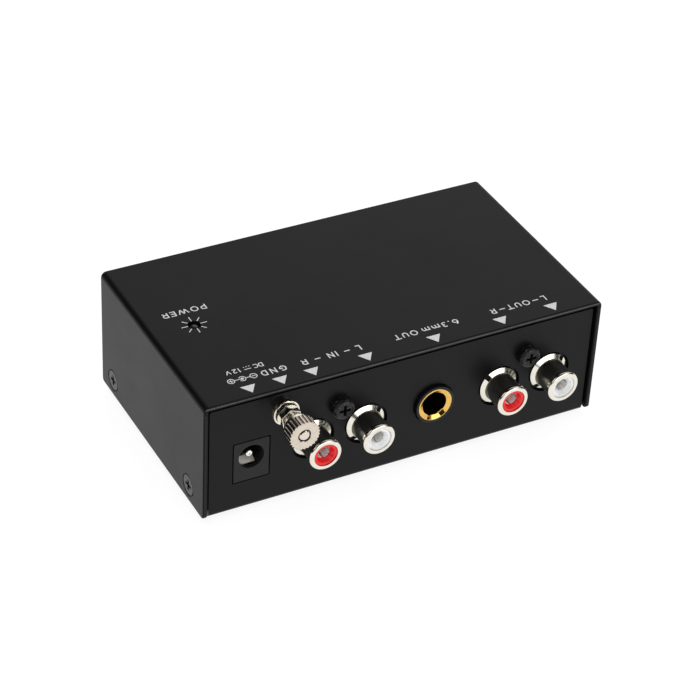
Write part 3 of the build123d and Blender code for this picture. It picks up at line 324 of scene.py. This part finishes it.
def moulded(name, look, skin):
    material, graph = newMaterial(name)
    place = graph.place()
    spark = graph.noise(place, look["grain"], detail=3.0, roughness=0.6)
    cloud = graph.noise(place, skin["cloud"] * look["grain"], detail=3.0, roughness=0.55)
    dark = scaled(look["colour"], skin["darkCloud"])
    roughness = look["roughness"] + (spark - evenNoise) * skin["sparkRoughness"]
    graph.surface({
        "Base Color": graph.mix(graph.fit(cloud, 0.3, 0.7), dark, look["colour"]),
        "Roughness": roughness + (cloud - evenNoise) * skin["cloudRoughness"],
        "IOR": look.get("ior", skin["ior"]),
        "Coat Weight": look.get("gloss", 0.0),
        "Coat Roughness": skin["coatRoughness"],
        "Normal": graph.bump(spark, skin["relief"] * look["grain"]),
    })
    return material


for name, look in mouldings.items():
    finishPart(look["names"], moulded(name, look, mouldedSkin))


# Turned and plated metal, and the lamp

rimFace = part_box("input_left_barrel")[1].y
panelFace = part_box("chassis")[1].y
# Painted shade: the barrel's side, between the panel and the rim, is coloured darker than the
# nickel, standing in for the dark surroundings it reflects
barrelShadeLook = {
    "start": panelFace + 0.12 * mm,
    "end": rimFace - 1.24 * mm,
    "innerRadius": 3.6 * mm,
    "outerRadius": 3.85 * mm,
    "colour": (0.45, 0.45, 0.41),
    "roughness": 0.3,
}
barrelNickel = {
    "colour": (0.8, 0.765, 0.675),
    "dull": (0.62, 0.58, 0.5),
    "roughness": 0.13,
    "lines": 0.07 * mm,
    "depth": 0.0016 * mm,
    "side": barrelShadeLook,
}
# Painted shade lies between the knurls, short of the nut's outer face
earthNickel = {
    "colour": (0.68, 0.6, 0.51),
    "dull": (0.42, 0.36, 0.29),
    "roughness": 0.2,
    "lines": 0.09 * mm,
    "depth": 0.004 * mm,
    "grooves": {"share": 0.12, "from": 0.32 * mm, "to": 0.04 * mm, "face": 0.3 * mm},
}
# The outer end of the post and of the clamp collar, its last 0.4 mm, is coloured darker
postNickel = {
    "colour": (0.88, 0.84, 0.75),
    "dull": (0.62, 0.57, 0.48),
    "roughness": 0.15,
    "lines": 0.09 * mm,
    "depth": 0.003 * mm,
    "end": {"colour": (0.72, 0.65, 0.56), "length": 0.4 * mm},
}
goldPlate = {
    "colour": (0.8, 0.5, 0.13),
    "dull": (0.46, 0.25, 0.05),
    "roughness": 0.14,
    "lines": 0.08 * mm,
    "depth": 0.002 * mm,
}
pinNickel = {
    "colour": (0.86, 0.84, 0.8),
    "dull": (0.6, 0.57, 0.52),
    "roughness": 0.12,
    "lines": 0.08 * mm,
    "depth": 0.0012 * mm,
}
lathe = {
    "haze": 1.1 * mm,
    "tarnish": (0.5, 0.78),
    "tarnishShare": 0.55,
    "tarnishRoughness": 0.1,
    "lineRoughness": 0.1,
}


def turnedMetal(name, look, node):
    # The lathe's lines run round the piece's own axis, which lies along Y
    low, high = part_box(node)
    outer = (high.x - low.x) / 2
    axisX = (low.x + high.x) / 2
    axisZ = high.z - outer
    material, graph = newMaterial(name)
    x, y, z = graph.axes()
    radius = ((x - axisX) ** 2 + (z - axisZ) ** 2) ** 0.5
    lines = graph.noise(graph.point(radius, y, 0.0), look["lines"], detail=2.0, roughness=0.6)
    haze = graph.noise(graph.place(), lathe["haze"], detail=4.0, roughness=0.65)
    tarnish = graph.fit(haze, *lathe["tarnish"])
    colour = graph.mix(tarnish * lathe["tarnishShare"], look["colour"], look["dull"])
    roughness = look["roughness"] + (lines - evenNoise) * lathe["lineRoughness"]
    roughness = roughness + tarnish * lathe["tarnishRoughness"]
    # Painted shade on the barrel's side, a darker copy of the nickel
    if "side" in look:
        side = look["side"]
        paintedShade = (y > side["start"]) * (y < side["end"])
        paintedShade = paintedShade * (radius < side["outerRadius"]) * (radius > side["innerRadius"])
        colour = graph.mix(paintedShade, colour, side["colour"])
        roughness = roughness + paintedShade * (side["roughness"] - look["roughness"])
    if "end" in look:
        end = look["end"]
        colour = graph.mix(y > high.y - end["length"], colour, end["colour"])
    # Painted shade in the knurl grooves, darkest deepest in
    if "grooves" in look:
        grooves = look["grooves"]
        groove = graph.fit(radius, outer - grooves["from"], outer - grooves["to"], falling)
        groove = groove * (y < high.y - grooves["face"])
        colour = graph.mix(groove, colour, scaled(look["dull"], grooves["share"]))
    graph.surface({
        "Base Color": colour,
        "Metallic": 1.0,
        "Roughness": roughness,
        "Normal": graph.bump(lines, look["depth"], strength=0.6),
    })
    return material


turnedParts = {
    "input_left_barrel": barrelNickel,
    "input_right_barrel": barrelNickel,
    "output_left_barrel": barrelNickel,
    "output_right_barrel": barrelNickel,
    "phone_socket_bushing": goldPlate,
    "dc_inlet_pin": pinNickel,
    "earth_post": postNickel,
    "earth_clamp_collar": postNickel,
    "earth_thumb_nut": earthNickel,
    "earth_lock_nut": earthNickel,
}
for name, look in turnedParts.items():
    finishPart([name], turnedMetal(name + "_finish", look, name))

stripMetals = {
    "springStrip": {
        "names": [
            "dc_inlet_spring",
            "dc_inlet_side_contact",
            "phone_tip_spring",
            "phone_ring_spring",
        ],
        "colour": (0.95, 0.92, 0.83),
        "roughness": 0.42,
        "metallic": 0.25,
    },
    "tinnedBrass": {
        "names": [
            "input_left_contact",
            "input_right_contact",
            "output_left_contact",
            "output_right_contact",
        ],
        "colour": (0.95, 0.94, 0.91),
        "roughness": 0.5,
        "metallic": 0.1,
    },
    "tinnedLead": {
        "names": ["chip_leads", "power_lamp_leads"],
        "colour": (0.72, 0.72, 0.7),
        "roughness": 0.3,
        "metallic": 1.0,
    },
    "zincPlate": {
        "names": ["earth_star_washer", "earth_solder_lug", "board_standoffs", "board_screws"],
        "colour": (0.62, 0.62, 0.6),
        "roughness": 0.32,
        "metallic": 1.0,
    },
}
rolling = {
    "stretch": 8,
    "lines": 0.6 * mm,
    "lineDepth": 0.003 * mm,
    "lineRoughness": 0.2,
    "spots": 0.5 * mm,
    "spotShade": 0.62,
    "spotShare": 0.6,
    "spotRoughness": 0.12,
}


def stripMetal(name, look):
    material, graph = newMaterial(name)
    x, y, z = graph.axes()
    stretched = graph.point(x * rolling["stretch"], y * rolling["stretch"], z)
    rolled = graph.noise(stretched, rolling["lines"], detail=3.0, roughness=0.6)
    spots = graph.noise(graph.place(), rolling["spots"], detail=4.0, roughness=0.7)
    spots = graph.fit(spots, 0.55, 0.75)
    dull = scaled(look["colour"], rolling["spotShade"])
    roughness = look["roughness"] + (rolled - evenNoise) * rolling["lineRoughness"]
    graph.surface({
        "Base Color": graph.mix(spots * rolling["spotShare"], look["colour"], dull),
        "Metallic": look["metallic"],
        "Roughness": roughness + spots * rolling["spotRoughness"],
        "Normal": graph.bump(rolled, rolling["lineDepth"]),
    })
    return material


for name, look in stripMetals.items():
    finishPart(look["names"], stripMetal(name, look))

lampLens = {
    "colour": (0.006, 0.006, 0.007),
    "lightSwirl": 2.5,
    "swirl": 0.7 * mm,
    "swirlDepth": 0.01 * mm,
    "roughness": 0.12,
    "roughnessSpread": 0.08,
    "ior": 1.4,
    "coat": 0.3,
    "coatRoughness": 0.04,
}


def smokedLens(name, look):
    material, graph = newMaterial(name)
    swirl = graph.noise(graph.place(), look["swirl"], detail=2.0)
    light = scaled(look["colour"], look["lightSwirl"])
    graph.surface({
        "Base Color": graph.mix(swirl, look["colour"], light),
        "Roughness": look["roughness"] + swirl * look["roughnessSpread"],
        "IOR": look["ior"],
        "Coat Weight": look["coat"],
        "Coat Roughness": look["coatRoughness"],
        "Normal": graph.bump(swirl, look["swirlDepth"], strength=0.3),
    })
    return material


finishPart(["power_lamp"], smokedLens("lampLens", lampLens))
print("materials for the case, sockets and terminal")


# Components on the board

boardFinish = {
    "mask": (0.008, 0.075, 0.03),
    "track": (0.02, 0.13, 0.055),
    "edge": (0.16, 0.2, 0.08),
    "trackWidth": 1.6 * mm,
    "trackPitch": 3,
    "trackHalf": (0.28, 0.36),
    "jogLength": 4,
    "jogReach": 2,
    "edgeZone": (0.44, 0.47),
    "edgeShare": 0.8,
    "edgeRoughness": 0.4,
    "weave": 0.3 * mm,
    "weaveRoughness": 0.12,
    "weaveHeight": 0.1,
    "trackHeight": 0.9,
    "relief": 0.035 * mm,
    "roughness": 0.24,
    "ior": 1.5,
}


def boardMaterial(name, look):
    low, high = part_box("circuit_board")
    thickness = high.z - low.z
    material, graph = newMaterial(name)
    x, y, z = graph.axes()
    step = look["trackPitch"] * look["trackWidth"]
    # Tracks run along X and jog from cell to cell
    cell = graph.point(x - x % step, y - y % step, 0.0)
    jog = graph.noise(cell, look["jogLength"] * step, detail=0.0)
    along = abs((y + jog * step * look["jogReach"]) % step - step / 2)
    trackIn, trackOut = (share * look["trackWidth"] for share in look["trackHalf"])
    track = graph.fit(along, trackIn, trackOut, falling)
    edgeIn, edgeOut = (share * thickness for share in look["edgeZone"])
    edge = graph.fit(abs(z - (low.z + high.z) / 2), edgeIn, edgeOut, falling)
    weave = graph.noise(graph.place(), look["weave"], detail=2.0)
    masked = graph.mix(track, look["mask"], look["track"])
    roughness = look["roughness"] + weave * look["weaveRoughness"]
    relief = track * look["trackHeight"] + weave * look["weaveHeight"]
    graph.surface({
        "Base Color": graph.mix(edge * look["edgeShare"], masked, look["edge"]),
        "Roughness": roughness + edge * look["edgeRoughness"],
        "IOR": look["ior"],
        "Normal": graph.bump(relief, look["relief"], strength=0.7),
    })
    return material


finishPart(["circuit_board"], boardMaterial("boardLaminate", boardFinish))
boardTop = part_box("circuit_board")[1].z

sleeveColour = (0.01, 0.012, 0.028)
components = {
    "film_capacitors": {"colour": (0.36, 0.02, 0.018), "roughness": 0.25},
    "reservoir_capacitors": {"colour": sleeveColour, "roughness": 0.3, "canTop": 0.05 * mm},
    "coupling_capacitors": {"colour": sleeveColour, "roughness": 0.3, "canTop": 0.05 * mm},
    "ceramic_capacitors": {"colour": (0.55, 0.26, 0.03), "roughness": 0.22},
    "filter_choke": {"colour": (0.022, 0.021, 0.022), "roughness": 0.6, "windings": 60},
    "voltage_regulator": {
        "colour": (0.012, 0.012, 0.012),
        "roughness": 0.55,
        "leads": 3.6 * mm,
        "tab": {"above": 9.2 * mm, "thickness": 1.3 * mm},
    },
}
componentSkin = {
    "leads": 0.12 * mm,
    "leadColour": (0.68, 0.68, 0.66),
    "darkSpark": 0.7,
    "spark": 0.4 * mm,
    "sparkRoughness": 0.14,
    "winding": 16 * mm,
    "relief": 0.02 * mm,
}


def standingComponent(name, look, skin):
    # Bare metal below the body and, where it is named, on a can's top or a tab
    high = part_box(name)[1]
    material, graph = newMaterial(name + "_finish")
    y, z = graph.axes()[1:]
    bodyStart = boardTop + look.get("leads", skin["leads"])
    metal = z < bodyStart
    if "canTop" in look:
        metal = graph.fit(metal + (z > high.z - look["canTop"]), 0.0, 1.0)
    if "tab" in look:
        tab = look["tab"]
        metal = metal + (z > bodyStart + tab["above"]) + (y > high.y - tab["thickness"])
        metal = graph.fit(metal, 0.0, 1.0)
    spark = graph.noise(graph.place(), skin["spark"], detail=3.0, roughness=0.6)
    relief = spark
    if "windings" in look:
        turns = graph.point(0.0, 0.0, z * look["windings"])
        relief = graph.noise(turns, skin["winding"], detail=0.0)
    body = graph.mix(spark, scaled(look["colour"], skin["darkSpark"]), look["colour"])
    graph.surface({
        "Base Color": graph.mix(metal, body, skin["leadColour"]),
        "Metallic": metal,
        "Roughness": look["roughness"] + (spark - evenNoise) * skin["sparkRoughness"],
        "Normal": graph.bump(relief, skin["relief"]),
    })
    return material


for name, look in components.items():
    finishPart([name], standingComponent(name, look, componentSkin))

# Columns are the first part's X and the pitch; bands a middle, in mm, and a colour
axialParts = {
    "resistors": {
        "columns": (-26 * mm, 13 * mm),
        "length": 6.3 * mm,
        "colour": (0.1, 0.28, 0.42),
        "bands": [
            (-2.3, (0.3, 0.12, 0.02)),
            (-1.1, (0.02, 0.02, 0.02)),
            (0.0, (0.02, 0.02, 0.02)),
            (1.1, (0.5, 0.03, 0.02)),
            (2.3, (0.32, 0.1, 0.03)),
        ],
        "bandWidth": 0.55,
    },
    "polarity_diode": {
        "columns": (30 * mm, 20 * mm),
        "length": 5.2 * mm,
        "colour": (0.014, 0.014, 0.014),
        "bands": [(1.7, (0.55, 0.55, 0.53))],
        "bandWidth": 0.8,
    },
}
axialSkin = {
    "leadColour": (0.7, 0.7, 0.68),
    "leadStart": 0.01 * mm,
    "darkSpark": 0.8,
    "spark": 0.4 * mm,
    "roughness": 0.28,
    "sparkRoughness": 0.12,
    "relief": 0.012 * mm,
}


def bandedPart(name, look, skin):
    material, graph = newMaterial(name + "_finish")
    x = graph.axes()[0]
    first, pitch = look["columns"]
    along = (x - first + pitch / 2) % pitch - pitch / 2
    wire = abs(along) > look["length"] / 2 + skin["leadStart"]
    spark = graph.noise(graph.place(), skin["spark"], detail=3.0)
    colour = graph.mix(spark, scaled(look["colour"], skin["darkSpark"]), look["colour"])
    for middle, band in look["bands"]:
        banded = abs(along - middle * mm) < look["bandWidth"] / 2 * mm
        colour = graph.mix(banded, colour, band)
    graph.surface({
        "Base Color": graph.mix(wire, colour, skin["leadColour"]),
        "Metallic": wire,
        "Roughness": skin["roughness"] + spark * skin["sparkRoughness"],
        "Normal": graph.bump(spark, skin["relief"]),
    })
    return material


for name, look in axialParts.items():
    finishPart([name], bandedPart(name, look, axialSkin))
print("materials for the components")


# Printed marks on the cover: strokes in a box one capital high

def arc(cx, cy, rx, ry, start, end, steps=20):
    turns = [math.radians(start + (end - start) * i / steps) for i in range(steps + 1)]
    return [(cx + rx * math.cos(t), cy + ry * math.sin(t)) for t in turns]


def circle(centre, radius, start, end, steps):
    return arc(*centre, radius, radius, start, end, steps)


stem = [(0, 0), (0, 1)]
foot = [(0, 0), (1, 0)]
# width of the glyph in capital heights, then its strokes in a unit square
glyphs = {
    "C": (0.86, [arc(0.55, 0.5, 0.55, 0.5, 48, 312)]),
    "D": (0.78, [stem, [(0, 1), (0.42, 1)] + arc(0.42, 0.5, 0.58, 0.5, 90, -90) + [(0, 0)]]),
    "E": (0.68, [stem, [(0, 1), (1, 1)], foot, [(0, 0.51), (0.88, 0.51)]]),
    "G": (0.88, [arc(0.53, 0.5, 0.53, 0.5, 46, 350) + [(1, 0.49)], [(1, 0.49), (0.6, 0.49)]]),
    "I": (0.16, [[(0.5, 0), (0.5, 1)]]),
    "L": (0.58, [[(0, 1), (0, 0)], foot]),
    "N": (0.79, [stem, [(0, 1), (1, 0)], [(1, 0), (1, 1)]]),
    "O": (0.98, [arc(0.5, 0.5, 0.5, 0.5, 0, 360, 40)]),
    "P": (
        0.72,
        [stem, [(0, 1), (0.55, 1)] + arc(0.55, 0.675, 0.45, 0.325, 90, -90, 14) + [(0, 0.35)]],
    ),
    "R": (
        0.75,
        [
            stem,
            [(0, 1), (0.55, 1)] + arc(0.55, 0.69, 0.42, 0.31, 90, -90, 14) + [(0, 0.38)],
            [(0.56, 0.38), (1, 0)],
        ],
    ),
    "T": (0.82, [[(0, 1), (1, 1)], [(0.5, 1), (0.5, 0)]]),
    "U": (0.76, [[(0, 1), (0, 0.42)] + arc(0.5, 0.42, 0.5, 0.42, 180, 360) + [(1, 1)]]),
    "V": (0.86, [[(0, 1), (0.5, 0)], [(0.5, 0), (1, 1)]]),
    "W": (
        1.36,
        [[(0, 1), (0.27, 0)], [(0.27, 0), (0.5, 1)], [(0.5, 1), (0.73, 0)], [(0.73, 0), (1, 1)]],
    ),
    "m": (
        1.04,
        [
            [(0, 0), (0, 0.68)],
            [(0, 0.42)] + arc(0.25, 0.42, 0.25, 0.26, 180, 0, 12) + [(0.5, 0)],
            [(0.5, 0.42)] + arc(0.75, 0.42, 0.25, 0.26, 180, 0, 12) + [(1, 0)],
        ],
    ),
    "1": (0.3, [[(1, 0), (1, 1)], [(1, 1), (0, 0.86)]]),
    "2": (0.64, [arc(0.5, 0.72, 0.48, 0.28, 160, -40, 16) + [(0, 0)], foot]),
    "3": (
        0.64,
        [arc(0.45, 0.75, 0.5, 0.25, 140, -90, 16), arc(0.45, 0.27, 0.55, 0.27, 90, -145, 16)],
    ),
    "6": (
        0.76,
        [arc(0.5, 0.33, 0.5, 0.33, 0, 360, 30), arc(0.62, 0.34, 0.62, 0.66, 180, 100, 12)],
    ),
    ".": (0.18, [[(0.5, 0), (0.5, 0.03)]]),
    "-": (0.75, [[(0, 0.46), (1, 0.46)]]),
}

ink = {
    "colour": (0.58, 0.58, 0.575),
    "thinShare": 0.88,
    "thinSize": 0.5 * mm,
    "weave": 0.08 * mm,
    "weaveDepth": 0.004 * mm,
    "roughness": 0.4,
    "roughnessSpread": 0.2,
    "lift": 0.01 * mm,
    "layer": 0.0012 * mm,
}
# Everything below is in mm on the cover's top; a word has its text, start and end
rows = [
    {
        "baseline": 16.85,
        "height": 1.95,
        "stroke": 0.31,
        "words": [
            ("GND", 28.7, 35.05),
            ("L", 9.49, 10.63),
            ("-", 12.32, 13.77),
            ("IN", 15.6, 18.06),
            ("-", 19.92, 21.42),
            ("R", 23.33, 24.8),
            ("6.3mm", -16.5, -6.85),
            ("OUT", -5.53, 0.62),
            ("L", -40.57, -39.44),
            ("-", -38.54, -36.98),
            ("OUT", -36.12, -29.92),
            ("-", -29.33, -27.83),
            ("R", -26.8, -25.46),
        ],
    },
    {"baseline": -12.8, "height": 2.0, "stroke": 0.31, "words": [("POWER", 35.3, 46.5)]},
    {
        "baseline": 13.75,
        "height": 1.55,
        "stroke": 0.25,
        "words": [("DC", 33.05, 35.65), ("12V", 38.75, 42.5)],
    },
]
triangles = {
    "middles": [39.85, 31.85, 23.87, 9.9, -8.13, -26.1, -40.15],
    "half": 1.88,
    "base": 20.55,
    "tip": 23.4,
}
polarity = {
    "plus": (42.57, 17.68),
    "centre": (39.78, 17.73),
    "minus": (36.98, 17.74),
    "ring": 0.92,
    "stroke": 0.22,
    "signHalf": 0.42,
    "openRing": (35, 325),
    "dot": 0.4,
    "linkStart": 0.3,
}
directCurrent = {
    "dash": [(36.3, 14.85), (37.85, 14.85)],
    "dots": [(36.4, 13.95), (37.05, 13.95), (37.7, 13.95)],
    "dotRadius": 0.15,
    "stroke": 0.22,
}
lampRays = {"inner": 1.72, "outer": 3.15, "count": 8, "stroke": 0.24}
lampLow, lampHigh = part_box("power_lamp")
lampX, lampY = (lampLow.x + lampHigh.x) / 2 / mm, (lampLow.y + lampHigh.y) / 2 / mm
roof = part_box("top_cover")[1].z

tiny = 1e-4  # mm; points closer than this are one point
sharpestTurn = 0.5  # limits how far a ribbon's corner reaches out
inkPoints, inkFaces = [], []
inkLayers = itertools.cycle((1, 2, 3, 0))


def inkHeight():
    # Each patch lies a hair over or under the last so that crossings stay clean
    return roof + ink["lift"] + next(inkLayers) * ink["layer"]


def inkFill(outline):
    height = inkHeight()
    first = len(inkPoints)
    inkPoints.extend((x * mm, y * mm, height) for x, y in outline)
    inkFaces.append(tuple(range(first, len(inkPoints))))


def inkDot(centre, radius, corners):
    inkFill(circle(centre, radius, 0, 360 - 360 / corners, steps=corners - 1))


def squareEnds(line, half):
    along = (line[1] - line[0]).normalized() * half
    return [line[0] - along, line[1] + along]


def inkStroke(line, width):
    # A ribbon along a line, with square ends on its straight runs
    half = width / 2
    line = [
        Vector(point)
        for i, point in enumerate(line)
        if not i or math.dist(point, line[i - 1]) > tiny
    ]
    span = line[-1] - line[0]
    closed = span.length < tiny
    if not closed and len(line) == 2 and min(abs(span.x), abs(span.y)) < tiny:
        line = squareEnds(line, half)
    edges = []
    for i, point in enumerate(line):
        before = line[i - 1] if i else (line[-2] if closed else point)
        after = line[i + 1] if i + 1 < len(line) else (line[1] if closed else point)
        steps = [step for step in (point - before, after - point) if step.length > tiny]
        normals = [Vector((-step.y, step.x)).normalized() for step in steps]
        mean = sum(normals, Vector((0, 0))).normalized()
        reach = half / max(sharpestTurn, mean.dot(normals[0]))
        edges += [point + mean * reach, point - mean * reach]
    height = inkHeight()
    first = len(inkPoints)
    inkPoints.extend((edge.x * mm, edge.y * mm, height) for edge in edges)
    for i in range(len(line) - 1):
        j = first + 2 * i
        inkFaces.append((j + 1, j + 3, j + 2, j))


def writeWord(text, start, end, row):
    height, stroke = row["height"], row["stroke"]
    widths = [max(glyphs[letter][0] * height, stroke) for letter in text]
    gap = (end - start - sum(widths)) / max(1, len(text) - 1)
    if len(text) == 1:
        widths = [end - start]
    cursor = start
    for letter, width in zip(text, widths):
        left, bottom = cursor + stroke / 2, row["baseline"] + stroke / 2
        for line in glyphs[letter][1]:
            placed = [
                (left + x * (width - stroke), bottom + y * (height - stroke)) for x, y in line
            ]
            inkStroke(placed, stroke)
        cursor += width + gap


for row in rows:
    for text, start, end in row["words"]:
        writeWord(text, start, end, row)

half, base = triangles["half"], triangles["base"]
for middle in triangles["middles"]:
    inkFill([(middle - half, base), (middle + half, base), (middle, triangles["tip"])])

# The supply's polarity: plus ring, open ring round a dot, minus ring
plus, centre, minus = (polarity[key] for key in ("plus", "centre", "minus"))
ring, fine, arm = polarity["ring"], polarity["stroke"], polarity["signHalf"]
for x, y in (plus, minus):
    inkStroke(circle((x, y), ring - fine / 2, 0, 360, steps=36), fine)
    inkStroke([(x - arm, y), (x + arm, y)], fine)
inkStroke([(plus[0], plus[1] - arm), (plus[0], plus[1] + arm)], fine)
inkStroke(circle(centre, ring - fine / 2, *polarity["openRing"], steps=34), fine)
inkDot(centre, polarity["dot"], corners=24)
inkStroke([(centre[0] + polarity["linkStart"], centre[1]), (plus[0] - ring, plus[1])], fine)
inkStroke([(minus[0] + ring, minus[1]), (centre[0] - ring, centre[1])], fine)

# Direct current: a dash over three dots
inkStroke(directCurrent["dash"], directCurrent["stroke"])
for dot in directCurrent["dots"]:
    inkDot(dot, directCurrent["dotRadius"], corners=12)

for i in range(lampRays["count"]):
    turn = math.radians(360 / lampRays["count"] * i)
    ends = (lampRays["inner"], lampRays["outer"])
    ray = [(lampX + r * math.cos(turn), lampY + r * math.sin(turn)) for r in ends]
    inkStroke(ray, lampRays["stroke"])

inkMesh = bpy.data.meshes.new("cover_print")
inkMesh.from_pydata(inkPoints, [], inkFaces)
inkMesh.update()
coverPrint = bpy.data.objects.new("cover_print", inkMesh)
bpy.context.scene.collection.objects.link(coverPrint)
inkMaterial, graph = newMaterial("printInk")
weave = graph.noise(graph.place(), ink["weave"], detail=3.0, roughness=0.6)
thin = graph.fit(graph.noise(graph.place(), ink["thinSize"], detail=3.0), 0.3, 0.7)
graph.surface({
    "Base Color": graph.mix(thin, scaled(ink["colour"], ink["thinShare"]), ink["colour"]),
    "Roughness": ink["roughness"] + weave * ink["roughnessSpread"],
    "Normal": graph.bump(weave, ink["weaveDepth"]),
})
inkMesh.materials.append(inkMaterial)
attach(coverPrint, "base")
print("printed marks:", len(inkFaces), "faces")


# Studio: a pale floor, soft lights and a dim room for the gloss to reflect

floorLook = {
    "size": 6.0,
    "drop": 0.02 * mm,
    "colour": (0.16, 0.16, 0.16),
    "speckle": 40 * mm,
    "speckleShare": 0.985,
    "roughness": 0.85,
    "specular": 0.1,
    "glowColour": (1, 1, 1),
    "glow": 0.9,
}
floorMesh = bpy.data.meshes.new("studio_floor")
reach = floorLook["size"] / 2
corners = [(-reach, -reach), (reach, -reach), (reach, reach), (-reach, reach)]
floorMesh.from_pydata([(x, y, -floorLook["drop"]) for x, y in corners], [], [(0, 1, 2, 3)])
floor = bpy.data.objects.new("studio_floor", floorMesh)
bpy.context.scene.collection.objects.link(floor)
floorMaterial, graph = newMaterial("paleFloor")
speckle = graph.noise(graph.place(), floorLook["speckle"], detail=2.0)
speckled = scaled(floorLook["colour"], floorLook["speckleShare"])
graph.surface({
    "Base Color": graph.mix(speckle, speckled, floorLook["colour"]),
    "Roughness": floorLook["roughness"],
    "Specular IOR Level": floorLook["specular"],
    "Emission Color": floorLook["glowColour"],
    "Emission Strength": floorLook["glow"],
})
floorMesh.materials.append(floorMaterial)

# Places, targets and sizes in metres, power in watts
lights = {
    "overhead": {
        "place": (0.1, 0.1, 1.5),
        "target": (0, 0, 0),
        "size": (2.2, 2.2),
        "power": 24,
        "mirrored": False,
    },
    "leftBank": {
        "place": (1.1, 0.5, 0.9),
        "target": (0, 0, 0.02),
        "size": (0.9, 0.9),
        "power": 3,
        "mirrored": True,
    },
    "rightFill": {
        "place": (-0.9, 1.0, 0.7),
        "target": (0, 0, 0.02),
        "size": (0.8, 0.8),
        "power": 3,
        "mirrored": True,
    },
    "frontCard": {
        "place": (-0.3, 1.6, 0.35),
        "target": (0, 0, 0.02),
        "size": (1.5, 0.8),
        "power": 8,
        "mirrored": True,
    },
}
for name, light in lights.items():
    lamp = bpy.data.lights.new(name, "AREA")
    lamp.shape = "RECTANGLE"
    lamp.size, lamp.size_y = light["size"]
    lamp.energy = light["power"]
    lampObject = bpy.data.objects.new(name, lamp)
    lampObject.visible_glossy = light["mirrored"]
    direction = Vector(light["target"]) - Vector(light["place"])
    lampObject.rotation_euler = direction.to_track_quat("-Z", "Y").to_euler()
    lampObject.location = light["place"]
    bpy.context.scene.collection.objects.link(lampObject)

# The room is bright above and behind the far side, and dim above the sockets
room = {
    "low": 0.015,
    "high": 1.13,
    "start": 0.68,
    "end": 0.94,
    "towards": (-0.5, -0.5, 0.7),
    "backdrop": 1.0,
    "colour": (1, 1, 1),
}
world = bpy.data.worlds.new("studioRoom")
bpy.context.scene.world = world
world.use_nodes = True
graph = Graph(world.node_tree)
east, north, height = graph.split(graph.node("ShaderNodeTexCoord", output="Generated"))
towards = room["towards"]
facing = east * towards[0] + north * towards[1] + height * towards[2]
glow = graph.fit(facing, room["start"], room["end"], (room["low"], room["high"]))
seen = graph.node("ShaderNodeLightPath", output="Is Camera Ray")
level = glow + seen * (room["backdrop"] - glow)
background = graph.node("ShaderNodeBackground", {}, {"Color": room["colour"], "Strength": level})
graph.node("ShaderNodeOutputWorld", {}, {"Surface": background})

# Place in metres, angles in degrees, lens and sensor in mm
view = {
    "place": (0.23415, 0.41365, 0.36217),
    "azimuth": 150.73,
    "elevation": 35.85,
    "roll": 3.13,
    "lens": 124.505,
    "sensor": 36,
    "clipStart": 0.01,
}
turn, rise, roll = (math.radians(view[key]) for key in ("azimuth", "elevation", "roll"))
outward = math.cos(rise)
back = Vector((math.sin(turn) * outward, -math.cos(turn) * outward, math.sin(rise)))
right = (-back).cross(Vector((0, 0, 1))).normalized()
up = right.cross(-back)
tiltedRight = right * math.cos(roll) + up * math.sin(roll)
tiltedUp = up * math.cos(roll) - right * math.sin(roll)
tilt = Matrix((tiltedRight, tiltedUp, back)).transposed().to_4x4()
cameraData = bpy.data.cameras.new("studioCamera")
cameraData.lens = view["lens"]
cameraData.sensor_width = view["sensor"]
cameraData.clip_start = view["clipStart"]
camera = bpy.data.objects.new("studioCamera", cameraData)
camera.matrix_world = Matrix.Translation(view["place"]) @ tilt
bpy.context.scene.collection.objects.link(camera)
bpy.context.scene.camera = camera
bpy.context.scene.view_settings.view_transform = "Standard"
print("studio, lights and camera")
